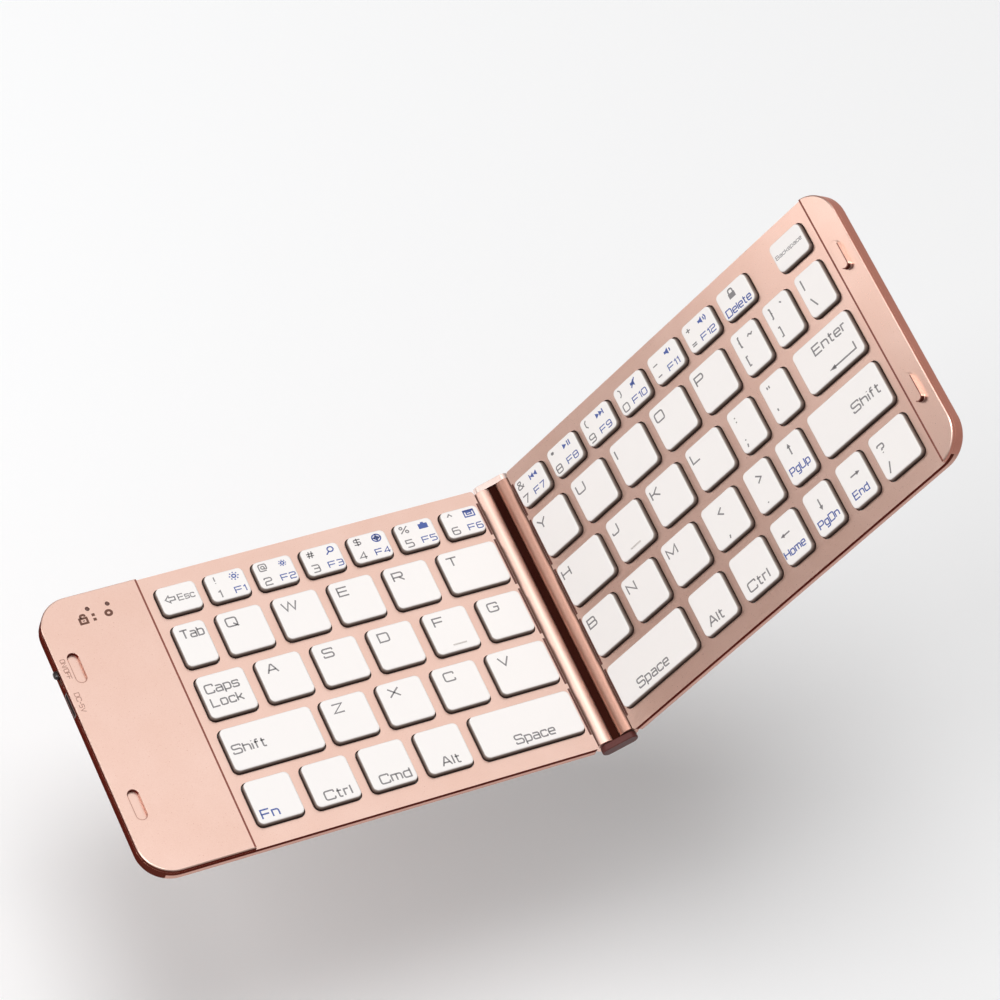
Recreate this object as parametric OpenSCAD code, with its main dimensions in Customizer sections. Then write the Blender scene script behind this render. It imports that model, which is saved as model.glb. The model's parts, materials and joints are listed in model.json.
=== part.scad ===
// Folding keyboard: two thin halves joined by a double-axis hinge.
// The left half lies flat, the right half is shown part folded.
// Each half is drawn in its own frame: u runs from the hinge edge of the
// deck outwards, y from the front edge to the back, z = 0 is the deck face.

/* [Fold] */
// Angle between the right half and the table
fold_angle = 61.5; // [0:0.5:160]

/* [Halves] */
// Thickness of a half from the deck face to its underside
half_thick = 4.6; // [4.2:0.1:6]
// Radius of the outer corners
corner_r = 10; // [6:0.5:14]
// Radius of the corners beside the hinge
hinge_corner_r = 1; // [0.6:0.1:1.6]
// Depth at which the frame skirt meets the case wall
split_z = 1.5; // [1.3:0.1:1.8]
// Thickness of the side walls
wall = 1.2; // [1:0.1:1.4]
// Thickness of the case floor
floor_t = 0.9; // [0.8:0.1:1.1]
// Thickness of the deck plate with the key windows
deck_t = 1; // [0.8:0.1:1.1]
// Radius of the rounded edge between the side walls and the underside
under_r = 1.7; // [1.2:0.1:1.9]

/* [End pieces] */
// Length of the raised panel at the outer end of the left half
panel_len = 32.2; // [31:0.1:34]
// Length of the raised strip at the outer end of the right half
strip_len = 8.6; // [8:0.1:9.5]
// Height of the raised panel and strip above the deck
raise_h = 1.3; // [1.1:0.1:1.5]
// Gap between the outer keys and the raised panel or strip
end_gap = 3.3; // [2:0.1:5]
// Distance of the catch nubs from the outer edge of their strip
catch_edge = 4.8; // [4.2:0.1:5.4]
// Spacing of the two catch recesses
catch_pitch = 45.2; // [40:0.1:50]
// Width of a catch recess
recess_w = 3.4; // [3.2:0.1:4]
// Length of a catch recess
recess_len = 9.8; // [9:0.1:12]
// Depth of a catch recess
recess_depth = 0.9; // [0.5:0.1:1]
// Clearance around a catch nub in its recess
catch_gap = 0.3; // [0.2:0.05:0.5]
// Height of a catch nub above its strip
nub_h = 1.5; // [1:0.1:1.7]

/* [Keys] */
// Height of the key tops above the deck
key_h = 1.7; // [1.4:0.1:1.8]
// How far a key sinks when it is pressed
key_travel = 1.3; // [1:0.1:1.4]
// Pitch of the letter keys along a row
letter_pitch = 17.6; // [16:0.05:19]
// Width of a letter key
letter_w = 14.4; // [13:0.1:15.6]
// Gap between two number keys
number_gap = 2.5; // [1.5:0.1:3.5]
// Width of the keys for the small signs and the arrows
small_w = 10.4; // [9:0.1:11.6]
// Pitch of those small keys
small_pitch = 13.6; // [12.4:0.1:15]
// Width of a bracket key
bracket_w = 10.7; // [9:0.1:12]
// Pitch of the bracket keys
bracket_pitch = 13.55; // [12.8:0.05:15]
// Width of the keys of the left half that reach across the middle
wide_w = 19.2; // [17:0.1:22]
// Width of the first letter key of the right half's middle row
h_w = 18.9; // [17:0.1:22]
// Width of each space key
space_w = 32.6; // [29:0.1:36]
// Width of the caps lock key
caps_w = 15.1; // [13:0.1:18]
// Width of the backspace key
backspace_w = 12.8; // [11:0.1:14]
// Pitch of the rows
row_pitch = 17.45; // [16:0.05:19]
// Front edge of the space row
first_row_y = 5.75; // [5.3:0.05:7]
// Deck behind the number row
back_margin = 4.85; // [4.7:0.05:7]
// Depth of a full key
key_d = 14.3; // [12.8:0.1:15.6]
// Depth of a number key
number_d = 9.6; // [8.6:0.1:11]
// Distance of the keys' inner edges from the hinge edge of the deck
key_margin = 1.5; // [1.3:0.05:2.5]
// Corner radius of a key
key_r = 1.9; // [1.4:0.1:2.4]
// How far a key's top is drawn in from its foot
key_taper = 0.35; // [0.2:0.05:0.5]
// Thickness of a key's roof
key_roof = 0.9; // [0.8:0.1:1]
// Thickness of a key's walls
key_wall = 0.9; // [0.8:0.1:1.2]
// How far a key reaches below the deck face
key_skirt = 0.3; // [0.2:0.05:0.4]
// Gap between a key and its window
window_gap = 0.25; // [0.2:0.05:0.35]

/* [Key layers] */
// Thickness of the rubber sheet that carries the domes
sheet_t = 0.2; // [0.2:0.05:0.3]
// Thickness of the switch membrane
membrane_t = 0.4; // [0.3:0.05:0.5]
// Thickness of the metal plate below the membrane
support_t = 0.6; // [0.5:0.05:0.7]
// Foot radius of a rubber dome
dome_r = 2.6; // [2.2:0.1:3]
// Top radius of a rubber dome
dome_top_r = 1.3; // [1:0.1:1.6]
// Gap between a dome and the roof of its key
dome_gap = 0.15; // [0.1:0.05:0.2]
// Space between the case wall and the layers
layer_gap = 0.3; // [0.2:0.05:0.4]

/* [Hinge] */
// Radius of the hinge barrels
barrel_r = 3; // [2.8:0.1:3.1]
// Gap between the deck edge and the barrel
barrel_gap = 0.15; // [0.1:0.05:0.3]
// Depth of the hinge axes below the deck face
axis_drop = 1.9; // [1.7:0.1:2.2]
// Distance between the two hinge axes
axis_pitch = 7.6; // [7.3:0.1:8.2]
// Distance of the barrel ends from the front and back edges
barrel_inset = 1; // [0.9:0.1:1.4]
// Radius of the hinge pins
pin_r = 0.75; // [0.6:0.05:0.9]
// Running clearance between a pin and its bore
pin_gap = 0.05; // [0.03:0.01:0.08]
// Length of a hinge pin
pin_len = 11; // [8:0.5:14]
// Length of an end cap along the fold
cap_len = 11.3; // [11:0.1:12]
// Height of an end cap
cap_h = 4.3; // [3.8:0.1:4.8]
// Thickness of an end cap
cap_t = 2; // [1.6:0.1:2.4]
// Gap between an end cap and the barrel ends
cap_gap = 0.15; // [0.1:0.05:0.3]
// Height of the spine between the barrels
spine_h = 3.2; // [2.6:0.1:3.6]
// Depth that a hinge pin is pressed into its cap
pin_seat = 0.8; // [0.6:0.05:0.9]
// Clearance between the spine and the barrels
spine_gap = 0.12; // [0.1:0.01:0.2]
// Reach of the barrel leaf into a half
leaf_len = 11; // [8:0.5:14]
// Radius of the cable that crosses the hinge
cable_r = 0.35; // [0.25:0.05:0.4]
// Clearance round the cable in the hollow pins
cable_gap = 0.05; // [0.03:0.01:0.1]
// Length of the cable inside each barrel
cable_len = 20; // [14:1:40]

/* [Electronics] */
// Width of the battery
battery_w = 24; // [20:0.5:27]
// Length of the battery
battery_len = 38; // [30:1:42]
// Thickness of the battery
battery_t = 2.4; // [2:0.1:3]
// Width of the circuit board
board_w = 25.6; // [23:0.1:27]
// Thickness of the circuit board
board_t = 0.8; // [0.6:0.1:1]
// Width of the charging socket
socket_w = 7.5; // [7.3:0.1:7.8]
// Height of the charging socket
socket_h = 2.3; // [2.2:0.05:2.4]
// Depth of the charging socket
socket_depth = 5; // [4.6:0.1:5.6]
// Wall of the charging socket
socket_wall = 0.3; // [0.2:0.05:0.4]
// Position of the charging socket along the side
socket_y = 58; // [52:0.5:64]
// Distance of the power switch behind the charging socket
switch_pitch = 10; // [9:0.5:11]
// Travel of the power switch
switch_travel = 2; // [1.5:0.1:2.5]
// Width of the power switch knob
knob_w = 2.6; // [2:0.1:3]
// Height of the power switch knob
knob_h = 1.2; // [1:0.1:1.3]
// How far the knob stands out of the side
knob_out = 0.7; // [0.4:0.1:1]

/* [Feet and screws] */
// Distance of a foot from the hinge edge of its half
foot_start = 7; // [5:0.5:20]
// Distance of a foot from the outer edge of the right half
foot_end = 8.5; // [7:0.5:20]
// Width of a rubber foot
foot_w = 3.2; // [2.5:0.1:4]
// Height of a rubber foot below the underside
foot_h = 0.5; // [0.4:0.05:0.8]
// Distance of the feet from the front and back edges
foot_edge = 9; // [8:0.5:14]
// Radius of a screw's shank
screw_r = 0.6; // [0.5:0.05:0.65]
// Radius of a screw's head
screw_head_r = 1.1; // [0.9:0.05:1.1]
// Thickness of a screw's head
screw_head_t = 0.45; // [0.4:0.05:0.5]
// Distance of the screws from the front and back edges
screw_edge = 3.4; // [3:0.05:3.5]
// Distance of the first screws from the hinge edge
screw_first = 6; // [4:0.5:12]
// Clearance of a screw in the case floor
screw_gap = 0.1; // [0.05:0.01:0.15]

/* [Hidden] */
$fn = 48;

metal = [0.93, 0.78, 0.72];
dark_metal = [0.36, 0.22, 0.21];
key_white = [0.96, 0.95, 0.94];
rubber_grey = [0.25, 0.24, 0.24];
steel = [0.72, 0.73, 0.74];

left = 0;
right = 1;
eps = 0.01;

// --- key rows, counted from the space row at the front: [u of the inner edge, width] ---
function run(first, count, pitch, w) = [for (i = [0:count - 1]) [first + i * pitch, w]];
// One key from u to the outer end of its row
function last(u, end) = [u, end - u];
function row_y(r) = first_row_y + r * row_pitch;
function row_d(r) = r == 4 ? number_d : key_d;

key_gap = letter_pitch - letter_w;
small_gap = 3.6;            // before the first small key of a row
bracket_gap = 3.5;
end_key_gap = 3.1;          // before a row's last key
shift_gap = 2.6;

second_u = key_margin + wide_w + key_gap;
mods_u = key_margin + space_w + key_gap;
row_end = key_margin + 5 * letter_pitch - key_gap;
caps_u = row_end + key_gap;
keys_end = caps_u + caps_w;
bracket_u = row_end + bracket_gap;
right_keys_end = bracket_u + 2 * bracket_pitch + bracket_w;

number_w = (keys_end - key_margin - 6 * number_gap) / 7;
number_pitch = number_w + number_gap;

left_space = [key_margin, space_w];
left_v = [key_margin, wide_w];
left_t = [key_margin, wide_w];
left_mods = concat(run(mods_u, 3, letter_pitch, letter_w), [last(mods_u + 3 * letter_pitch, keys_end)]);
left_zxc = run(second_u, 3, letter_pitch, letter_w);
left_asdfg = run(key_margin, 5, letter_pitch, letter_w);
left_qwer = run(second_u, 4, letter_pitch, letter_w);
left_shift = last(second_u + 2 * letter_pitch + letter_w + shift_gap, keys_end);
left_caps = last(caps_u, keys_end);
left_tab = last(second_u + 4 * letter_pitch, keys_end);
left_numbers = run(key_margin, 7, number_pitch, number_w);

j_u = key_margin + h_w + key_gap;
sign_pitch = small_w + small_gap;
sign_u = j_u + 2 * letter_pitch + letter_w + small_gap;
period_u = row_end - letter_pitch + small_gap;
arrow_u = mods_u + letter_pitch + letter_w + end_key_gap;

right_numbers = left_numbers;
right_backspace = last(right_keys_end - backspace_w, right_keys_end);
right_yuiop = run(key_margin, 5, letter_pitch, letter_w);
right_brackets = run(bracket_u, 3, bracket_pitch, bracket_w);
right_h = [key_margin, h_w];
right_jkl = run(j_u, 3, letter_pitch, letter_w);
right_signs = run(sign_u, 2, sign_pitch, small_w);
right_enter = last(sign_u + 2 * sign_pitch, right_keys_end);
right_bnm = run(key_margin, 4, letter_pitch, letter_w);
right_period = run(period_u, 2, small_pitch, small_w);
right_shift = last(period_u + small_pitch + small_w + end_key_gap, right_keys_end);
right_space = [key_margin, space_w];
right_mods = run(mods_u, 2, letter_pitch, letter_w);
right_arrows = run(arrow_u, 3, small_pitch, small_w);
right_slash = last(arrow_u + 2 * small_pitch + small_w + end_key_gap, right_keys_end);

// --- overall sizes of the halves, which follow from the keys ---
half_depth = first_row_y + 4 * row_pitch + number_d + back_margin;
left_width = keys_end + end_gap + panel_len;
right_width = right_keys_end + end_gap + strip_len;

// --- places of the fold ---
link_angle = fold_angle / 2;
axis_u = barrel_r + barrel_gap;
left_axis = [axis_u, -axis_drop];
link_dir = [cos(link_angle), sin(link_angle)];
right_axis = left_axis + axis_pitch * link_dir;
right_dir = [cos(fold_angle), sin(fold_angle)];
right_up = [-sin(fold_angle), cos(fold_angle)];
right_edge = right_axis + axis_u * right_dir + axis_drop * right_up;

// Furthest reach of the tilted half, at its rounded lower edge
right_reach = right_edge[0] + (right_width - under_r) * right_dir[0]
    - (half_thick - under_r) * right_up[0] + under_r;
origin_x = (right_reach - left_width - knob_out) / 2;
foot_bottom = half_thick + foot_h;

function tag(r, keys) = [for (k = keys) [r, k]];
all_left = concat(
    tag(0, concat([left_space], left_mods)),
    tag(1, concat([left_v], left_zxc, [left_shift])),
    tag(2, concat(left_asdfg, [left_caps])),
    tag(3, concat([left_t], left_qwer, [left_tab])),
    tag(4, left_numbers));
all_right = concat(
    tag(0, concat([right_space], right_mods, right_arrows, [right_slash])),
    tag(1, concat(right_bnm, right_period, [right_shift])),
    tag(2, concat([right_h], right_jkl, right_signs, [right_enter])),
    tag(3, concat(right_yuiop, right_brackets)),
    tag(4, concat(right_numbers, [right_backspace])));

// --- heights of the layers, below the deck face ---
floor_z = half_thick - floor_t;
key_low = key_travel + key_skirt;
sheet_top = key_low + 0.3;
sheet_low = sheet_top + sheet_t;
membrane_low = sheet_low + membrane_t;
support_low = membrane_low + support_t;
dome_h = key_h - key_roof - dome_gap + sheet_top;
layer_front = first_row_y - 0.75;
layer_back = half_depth - back_margin + 0.05;
layer_end_gap = 1.6;
left_layer_end = left_width - panel_len - layer_end_gap;
right_layer_end = right_width - strip_len - layer_end_gap;

// --- places of the small fittings ---
screw_back = half_depth - screw_edge;
boss_r = 1.2;
screw_to_panel = 4.9;
screw_to_magnet = 3.6;
magnet_size = [12, 2.4, 1.2];
magnet_u = right_keys_end - magnet_size[0];
magnet_edge = 1.7;
function screw_row(end) = [screw_first, (screw_first + end) / 2, end];
left_screw_u = screw_row(left_width - panel_len - screw_to_panel);
right_screw_u = screw_row(magnet_u - screw_to_magnet);
catch_u = right_width - catch_edge;
catch_y = [(half_depth - catch_pitch) / 2, (half_depth + catch_pitch) / 2];
foot_len = right_width - foot_start - foot_end;

// --- frames of the three moving groups ---
module whole() translate([-origin_x, -half_depth / 2, foot_bottom]) children();
module left_frame() whole() mirror([1, 0, 0]) children();
module right_frame() whole()
    translate([right_edge[0], 0, right_edge[1]])
    rotate([0, -fold_angle, 0])
    children();
// x along the link from the left axis, z across it
module link_frame() whole()
    translate([left_axis[0], 0, left_axis[1]])
    rotate([0, -link_angle, 0])
    children();
module side_frame(side) {
    if (side == left) left_frame() children();
    else right_frame() children();
}

// --- outlines ---
// A plate from u0 to u1 and y0 to y1, with one radius at each end
module plate(u0, u1, y0, y1, r0, r1, fn = $fn) {
    translate([u0 + r0, y0]) square([u1 - u0 - r0 - r1, y1 - y0]);
    translate([u0, y0 + r0]) square([r0, y1 - y0 - 2 * r0]);
    translate([u1 - r1, y0 + r1]) square([r1, y1 - y0 - 2 * r1]);
    for (y = [y0 + r0, y1 - r0]) translate([u0 + r0, y]) circle(r0, $fn = min(fn, 16));
    for (y = [y0 + r1, y1 - r1]) translate([u1 - r1, y]) circle(r1, $fn = fn);
}
module half_outline(width, inset = 0) {
    r = max(hinge_corner_r - inset, 0.3);
    plate(inset, width - inset, inset, half_depth - inset, r, corner_r - inset, 64);
}
module slab(z0, z1) translate([0, 0, z0]) linear_extrude(z1 - z0) children();
module key_outline(key, y, d, grow = 0) {
    plate(key[0] - grow, key[0] + key[1] + grow, y - grow, y + d + grow,
        key_r + grow, key_r + grow, 20);
}
module stadium(len, w) {
    square([len - w, w], center = true);
    for (s = [-1, 1]) translate([s * (len - w) / 2, 0]) circle(w / 2, $fn = 32);
}

// --- casings ---
// What the rounded lower edge takes off a wall face that stands at x = 0
module edge_waste() difference() {
    translate([-under_r, -half_thick - 1]) square([under_r + 1, under_r + 1]);
    translate([-under_r, under_r - half_thick]) circle(under_r, $fn = 32);
}
module edge_run(len) rotate([90, 0, 0]) linear_extrude(len) edge_waste();
module edge_corner() rotate_extrude(angle = 90, $fn = 64)
    translate([corner_r, 0]) edge_waste();
module lower_edge(width) {
    bend = width - corner_r;
    translate([bend, 0, 0]) rotate(-90) edge_run(bend + 1);
    translate([width, half_depth - corner_r, 0]) edge_run(half_depth - 2 * corner_r);
    translate([-1, half_depth, 0]) rotate(90) edge_run(bend + 1);
    translate([bend, corner_r, 0]) rotate(-90) edge_corner();
    translate([bend, half_depth - corner_r, 0]) edge_corner();
}
// Tray with a rounded lower edge, ribs, screw holes and a gap for the hinge leaf
module bottom_case(width, screws, layer_end) difference() {
    union() {
        difference() {
            slab(-half_thick, -split_z) half_outline(width);
            slab(-floor_z, 0) half_outline(width, wall);
        }
        for (u = [leaf_len + rib_pitch / 2:rib_pitch:layer_end])
            translate([u - rib_w / 2, layer_front, -floor_z])
            cube([rib_w, layer_back - layer_front, floor_z - support_low]);
    }
    lower_edge(width);
    for (u = screws, y = [screw_edge, screw_back]) translate([u, y, -half_thick]) {
        translate([0, 0, -1]) cylinder(r = screw_r + screw_gap, h = floor_t + 2);
        translate([0, 0, -1]) cylinder(r = screw_head_r + screw_gap, h = screw_head_t + 1);
    }
    leaf_space();
}
rib_w = 1.2;
rib_pitch = 18;
// The slot in the hinge-side wall that the barrel's leaf passes through
module leaf_space() translate([-1, layer_front, -floor_z])
    cube([wall + layer_gap + 1, layer_back - layer_front, floor_z - support_low]);
// The board lies on posts, with the socket and the switch on top of it
socket_top = 0.1;
socket_low = socket_top + socket_h;
board_z = -socket_low - board_t;
switch_y = socket_y + switch_pitch;
board_u = [left_width - wall - layer_gap - board_w, left_width - wall - layer_gap];
board_y = [socket_y - 5, switch_y + 8];
post_inset = 2;
module left_bottom_case() left_frame() color(metal) difference() {
    union() {
        bottom_case(left_width, left_screw_u, left_layer_end);
        for (u = [board_u[0] + post_inset, board_u[1] - post_inset])
            for (y = [board_y[0] + post_inset, board_y[1] - post_inset])
                translate([u, y, -floor_z]) cylinder(r = boss_r, h = floor_z + board_z);
    }
    side_openings();
}
module right_bottom_case() right_frame() color(metal)
    bottom_case(right_width, right_screw_u, right_layer_end);

// Openings in the left side wall for the charging socket and the switch
side_gap = 0.15;
knob_z = -socket_low + 0.9;
module side_openings() {
    translate([left_width - wall - 1, socket_y - socket_w / 2 - side_gap, -socket_low - 0.05])
        cube([wall + 2, socket_w + 2 * side_gap, socket_h + 0.05 + socket_top + eps]);
    translate([left_width - wall - 1, switch_y - switch_travel - knob_w / 2 - side_gap, knob_z - side_gap])
        cube([wall + 2, switch_travel + knob_w + 2 * side_gap, knob_h + 2 * side_gap]);
}

// Deck plate with one window per key, a skirt round its rim and screw bosses
module key_frame(width, keys, screws) {
    difference() {
        union() {
            slab(-deck_t, 0) half_outline(width);
            slab(-split_z, -deck_t) difference() {
                half_outline(width);
                half_outline(width, wall);
            }
            for (u = screws, y = [screw_edge, screw_back])
                translate([u, y, -floor_z]) cylinder(r = boss_r, h = floor_z - deck_t);
        }
        slab(-deck_t - 1, 1)
            for (k = keys) key_outline(k[1], row_y(k[0]), row_d(k[0]), window_gap);
        for (u = screws, y = [screw_edge, screw_back])
            translate([u, y, -floor_z - 1]) cylinder(r = screw_r, h = 1 + floor_z - deck_t - 0.2);
    }
}
// The bay under the end panel, opened to the side over the circuit board
bay_margin = 5;
bay_rim = 3.5;
module left_key_frame() left_frame() color(metal) difference() {
    key_frame(left_width, all_left, left_screw_u);
    slab(-deck_t - 1, 1) plate(left_width - panel_len + bay_rim, left_width - bay_rim - 1,
        bay_margin, half_depth - bay_margin, 2, 2);
    side_openings();
    translate([board_u[0], board_y[0], -deck_t - 1])
        cube([left_width - wall - board_u[0], board_y[1] - board_y[0], deck_t + 2]);
}
module right_key_frame() right_frame() color(metal)
    key_frame(right_width, all_right, right_screw_u);

// --- raised end pieces ---
edge_soft = 0.3;
module end_outline(width, len, inset) intersection() {
    half_outline(width, inset);
    translate([width - len + inset, 0]) square([len, half_depth]);
}
module raised_end(width, len) hull() {
    slab(0, raise_h - edge_soft) end_outline(width, len, 0);
    slab(raise_h - eps, raise_h) end_outline(width, len, edge_soft);
}
lamp_u = [left_width - 21.3, left_width - 15.2];
lamp_y = half_depth - 5.4;
lamp_r = 0.6;
module left_end_panel() left_frame() color(metal) difference() {
    raised_end(left_width, panel_len);
    for (y = catch_y) translate([catch_u, y, raise_h - recess_depth])
        linear_extrude(recess_depth + 1) rotate(90) stadium(recess_len, recess_w);
    for (u = lamp_u) translate([u, lamp_y, -1]) cylinder(r = lamp_r + 0.05, h = raise_h + 2);
}
module right_end_strip() right_frame() color(metal) union() {
    raised_end(right_width, strip_len);
    for (y = catch_y) translate([catch_u, y, raise_h - eps])
        linear_extrude(nub_h + eps) rotate(90)
        stadium(recess_len - 2 * catch_gap, recess_w - 2 * catch_gap);
}

// --- layers under the keys ---
module layer(u1, z0, z1)
    slab(z0, z1) plate(wall + layer_gap, u1, layer_front, layer_back, 1, 1);
module dome_sheet(u1, keys) {
    layer(u1, -sheet_low, -sheet_top);
    for (k = keys)
        translate([k[1][0] + k[1][1] / 2, row_y(k[0]) + row_d(k[0]) / 2, -sheet_top - sheet_t / 2])
        cylinder(r1 = dome_r, r2 = dome_top_r, h = dome_h + sheet_t / 2, $fn = 20);
}
module left_support_plate() left_frame() color(steel)
    layer(left_layer_end, -support_low, -membrane_low);
module right_support_plate() right_frame() color(steel)
    layer(right_layer_end, -support_low, -membrane_low);
module left_membrane() left_frame() color([0.8, 0.85, 0.8])
    layer(left_layer_end, -membrane_low, -sheet_low);
module right_membrane() right_frame() color([0.8, 0.85, 0.8])
    layer(right_layer_end, -membrane_low, -sheet_low);
module left_dome_sheet() left_frame() color("gainsboro") dome_sheet(left_layer_end, all_left);
module right_dome_sheet() right_frame() color("gainsboro") dome_sheet(right_layer_end, all_right);

// --- keys: drawn-in walls, a soft top edge and a hollow inside ---
module keycap(r, key) {
    y = row_y(r);
    d = row_d(r);
    difference() {
        hull() {
            slab(-key_skirt, -key_skirt + eps) key_outline(key, y, d);
            slab(key_h - edge_soft - eps, key_h - edge_soft) key_outline(key, y, d, -key_taper * 0.7);
            slab(key_h - eps, key_h) key_outline(key, y, d, -key_taper * 0.7 - edge_soft);
        }
        slab(-key_skirt - 1, key_h - key_roof) key_outline(key, y, d, -key_wall);
    }
}
module keys(side, r, list) side_frame(side) color(key_white) for (k = list) keycap(r, k);
module left_number_keys() keys(left, 4, left_numbers);
module tab_key() keys(left, 3, [left_tab]);
module qwer_keys() keys(left, 3, left_qwer);
module t_key() keys(left, 3, [left_t]);
module caps_lock_key() keys(left, 2, [left_caps]);
module asdfg_keys() keys(left, 2, left_asdfg);
module left_shift_key() keys(left, 1, [left_shift]);
module zxc_keys() keys(left, 1, left_zxc);
module v_key() keys(left, 1, [left_v]);
module left_modifier_keys() keys(left, 0, left_mods);
module left_space_key() keys(left, 0, [left_space]);
module right_number_keys() keys(right, 4, right_numbers);
module backspace_key() keys(right, 4, [right_backspace]);
module yuiop_keys() keys(right, 3, right_yuiop);
module bracket_keys() keys(right, 3, right_brackets);
module h_key() keys(right, 2, [right_h]);
module jkl_keys() keys(right, 2, right_jkl);
module punctuation_keys() keys(right, 2, right_signs);
module enter_key() keys(right, 2, [right_enter]);
module bnm_keys() keys(right, 1, right_bnm);
module period_up_keys() keys(right, 1, right_period);
module right_shift_key() keys(right, 1, [right_shift]);
module right_space_key() keys(right, 0, [right_space]);
module right_modifier_keys() keys(right, 0, right_mods);
module arrow_keys() keys(right, 0, right_arrows);
module slash_key() keys(right, 0, [right_slash]);

// --- hinge ---
// A rod along y about the point (u, z), from y0 to y1
module rod(u, z, r, y0, y1)
    translate([u, y1, z]) rotate([90, 0, 0]) cylinder(r = r, h = y1 - y0);
// Full-depth barrel with a through bore and a leaf that lies under the key layers.
// In a half's own frame the barrel stands on the negative side of u.
module hinge_barrel() color(metal) difference() {
    union() {
        rod(-axis_u, -axis_drop, barrel_r, barrel_inset, half_depth - barrel_inset);
        translate([-axis_u + 1, layer_front, -floor_z])
            cube([axis_u - 1 + leaf_len, layer_back - layer_front, floor_z - support_low]);
    }
    rod(-axis_u, -axis_drop, pin_r + pin_gap, -1, half_depth + 1);
}
module left_hinge_barrel() left_frame() hinge_barrel();
module right_hinge_barrel() right_frame() hinge_barrel();

cap_inner = barrel_inset - cap_gap;
cap_back = half_depth - cap_inner;
channel_half = cable_r + cable_gap;
channel_y = cap_back + pin_seat + channel_half;
module hinge_cap(y0) translate([axis_pitch / 2, y0 + cap_t, 0]) rotate([90, 0, 0])
    linear_extrude(cap_t) stadium(cap_len, cap_h);
module front_hinge_cap() link_frame() color(dark_metal) difference() {
    hinge_cap(cap_inner - cap_t);
    for (u = [0, axis_pitch]) front_pin(u);
}
module back_hinge_cap() link_frame() color(dark_metal) difference() {
    hinge_cap(cap_back);
    for (u = [0, axis_pitch]) rod(u, 0, pin_r, cap_back - 1, cap_back + pin_seat);
    translate([-channel_half, channel_y - channel_half, -channel_half])
        cube([axis_pitch + 2 * channel_half, 2 * channel_half, 2 * channel_half]);
}
// Solid pins at the front, hollow ones at the back for the cable
module front_pin(u) rod(u, 0, pin_r, cap_inner - pin_seat, cap_inner - pin_seat + pin_len);
module back_pin(u) difference() {
    rod(u, 0, pin_r, cap_back + pin_seat - pin_len, cap_back + pin_seat);
    rod(u, 0, cable_r + cable_gap, 0, half_depth + 2);
}
module hinge_pins(u) color(steel) {
    front_pin(u);
    back_pin(u);
}
module left_hinge_pins() link_frame() hinge_pins(0);
module right_hinge_pins() link_frame() hinge_pins(axis_pitch);
// The cable runs in the bores, through the hollow pins and across the back cap
module hinge_cable() link_frame() color("black") {
    for (u = [0, axis_pitch]) {
        rod(u, 0, cable_r, channel_y - pin_len - cable_len, channel_y);
        translate([u, channel_y, 0]) sphere(cable_r, $fn = 20);
    }
    translate([0, channel_y, 0]) rotate([0, 90, 0]) cylinder(r = cable_r, h = axis_pitch);
}
module hinge_spine() link_frame() color(dark_metal) difference() {
    translate([axis_pitch / 2 - 2, cap_inner, -spine_h / 2])
        cube([4, half_depth - 2 * cap_inner, spine_h]);
    for (u = [0, axis_pitch]) rod(u, 0, barrel_r + spine_gap, -1, half_depth + 1);
}

// --- electronics in the bay under the left end panel ---
module circuit_board() left_frame() color("darkgreen")
    translate([board_u[0], board_y[0], board_z])
    cube([board_w, board_y[1] - board_y[0], board_t]);
battery_side = 4;
battery_gap = 3;
module battery() left_frame() color("silver")
    translate([left_width - battery_side - battery_w, board_y[0] - battery_gap - battery_len, -floor_z])
    cube([battery_w, battery_len, battery_t]);
module usb_socket() left_frame() color(steel) {
    translate([left_width - socket_depth, socket_y - socket_w / 2, -socket_low]) difference() {
        cube([socket_depth, socket_w, socket_h]);
        translate([socket_wall * 2, socket_wall, socket_wall])
            cube([socket_depth, socket_w - 2 * socket_wall, socket_h - 2 * socket_wall]);
    }
    translate([left_width - socket_depth, socket_y - socket_w / 4, -socket_low + 0.9])
        cube([socket_depth - 0.8, socket_w / 2, 0.5]);
}
module indicator_lights() left_frame() color("lightyellow")
    for (u = lamp_u) translate([u, lamp_y, 0]) cylinder(r = lamp_r, h = raise_h);
switch_size = [2.4, 8.4, 1.5];
knob_root = 0.35;
module power_switch_body() left_frame() color(rubber_grey)
    translate([left_width - wall - knob_root - 0.05 - switch_size[0],
        switch_y - switch_travel / 2 - switch_size[1] / 2, board_z + board_t])
    cube(switch_size);
module power_switch_knob() left_frame() color(rubber_grey)
    translate([left_width - wall - knob_root, switch_y - knob_w / 2, knob_z])
    cube([wall + knob_root + knob_out, knob_w, knob_h]);
module magnets() color(steel)
    for (y = [magnet_edge, half_depth - magnet_edge - magnet_size[1]])
        translate([magnet_u, y, -deck_t - magnet_size[2]]) cube(magnet_size);
module left_magnets() left_frame() magnets();
module right_magnets() right_frame() magnets();

// --- feet and screws ---
module feet() color(rubber_grey) for (y = [foot_edge, half_depth - foot_edge])
    translate([foot_start + foot_len / 2, y, -foot_bottom]) linear_extrude(foot_h)
    stadium(foot_len, foot_w);
module left_feet() left_frame() feet();
module right_feet() right_frame() feet();
module screws(list) color(steel) for (u = list, y = [screw_edge, screw_back])
    translate([u, y, -half_thick]) {
        cylinder(r = screw_head_r, h = screw_head_t);
        cylinder(r = screw_r - 0.02, h = half_thick - deck_t - 0.5);
    }
module left_screws() left_frame() screws(left_screw_u);
module right_screws() right_frame() screws(right_screw_u);

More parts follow.
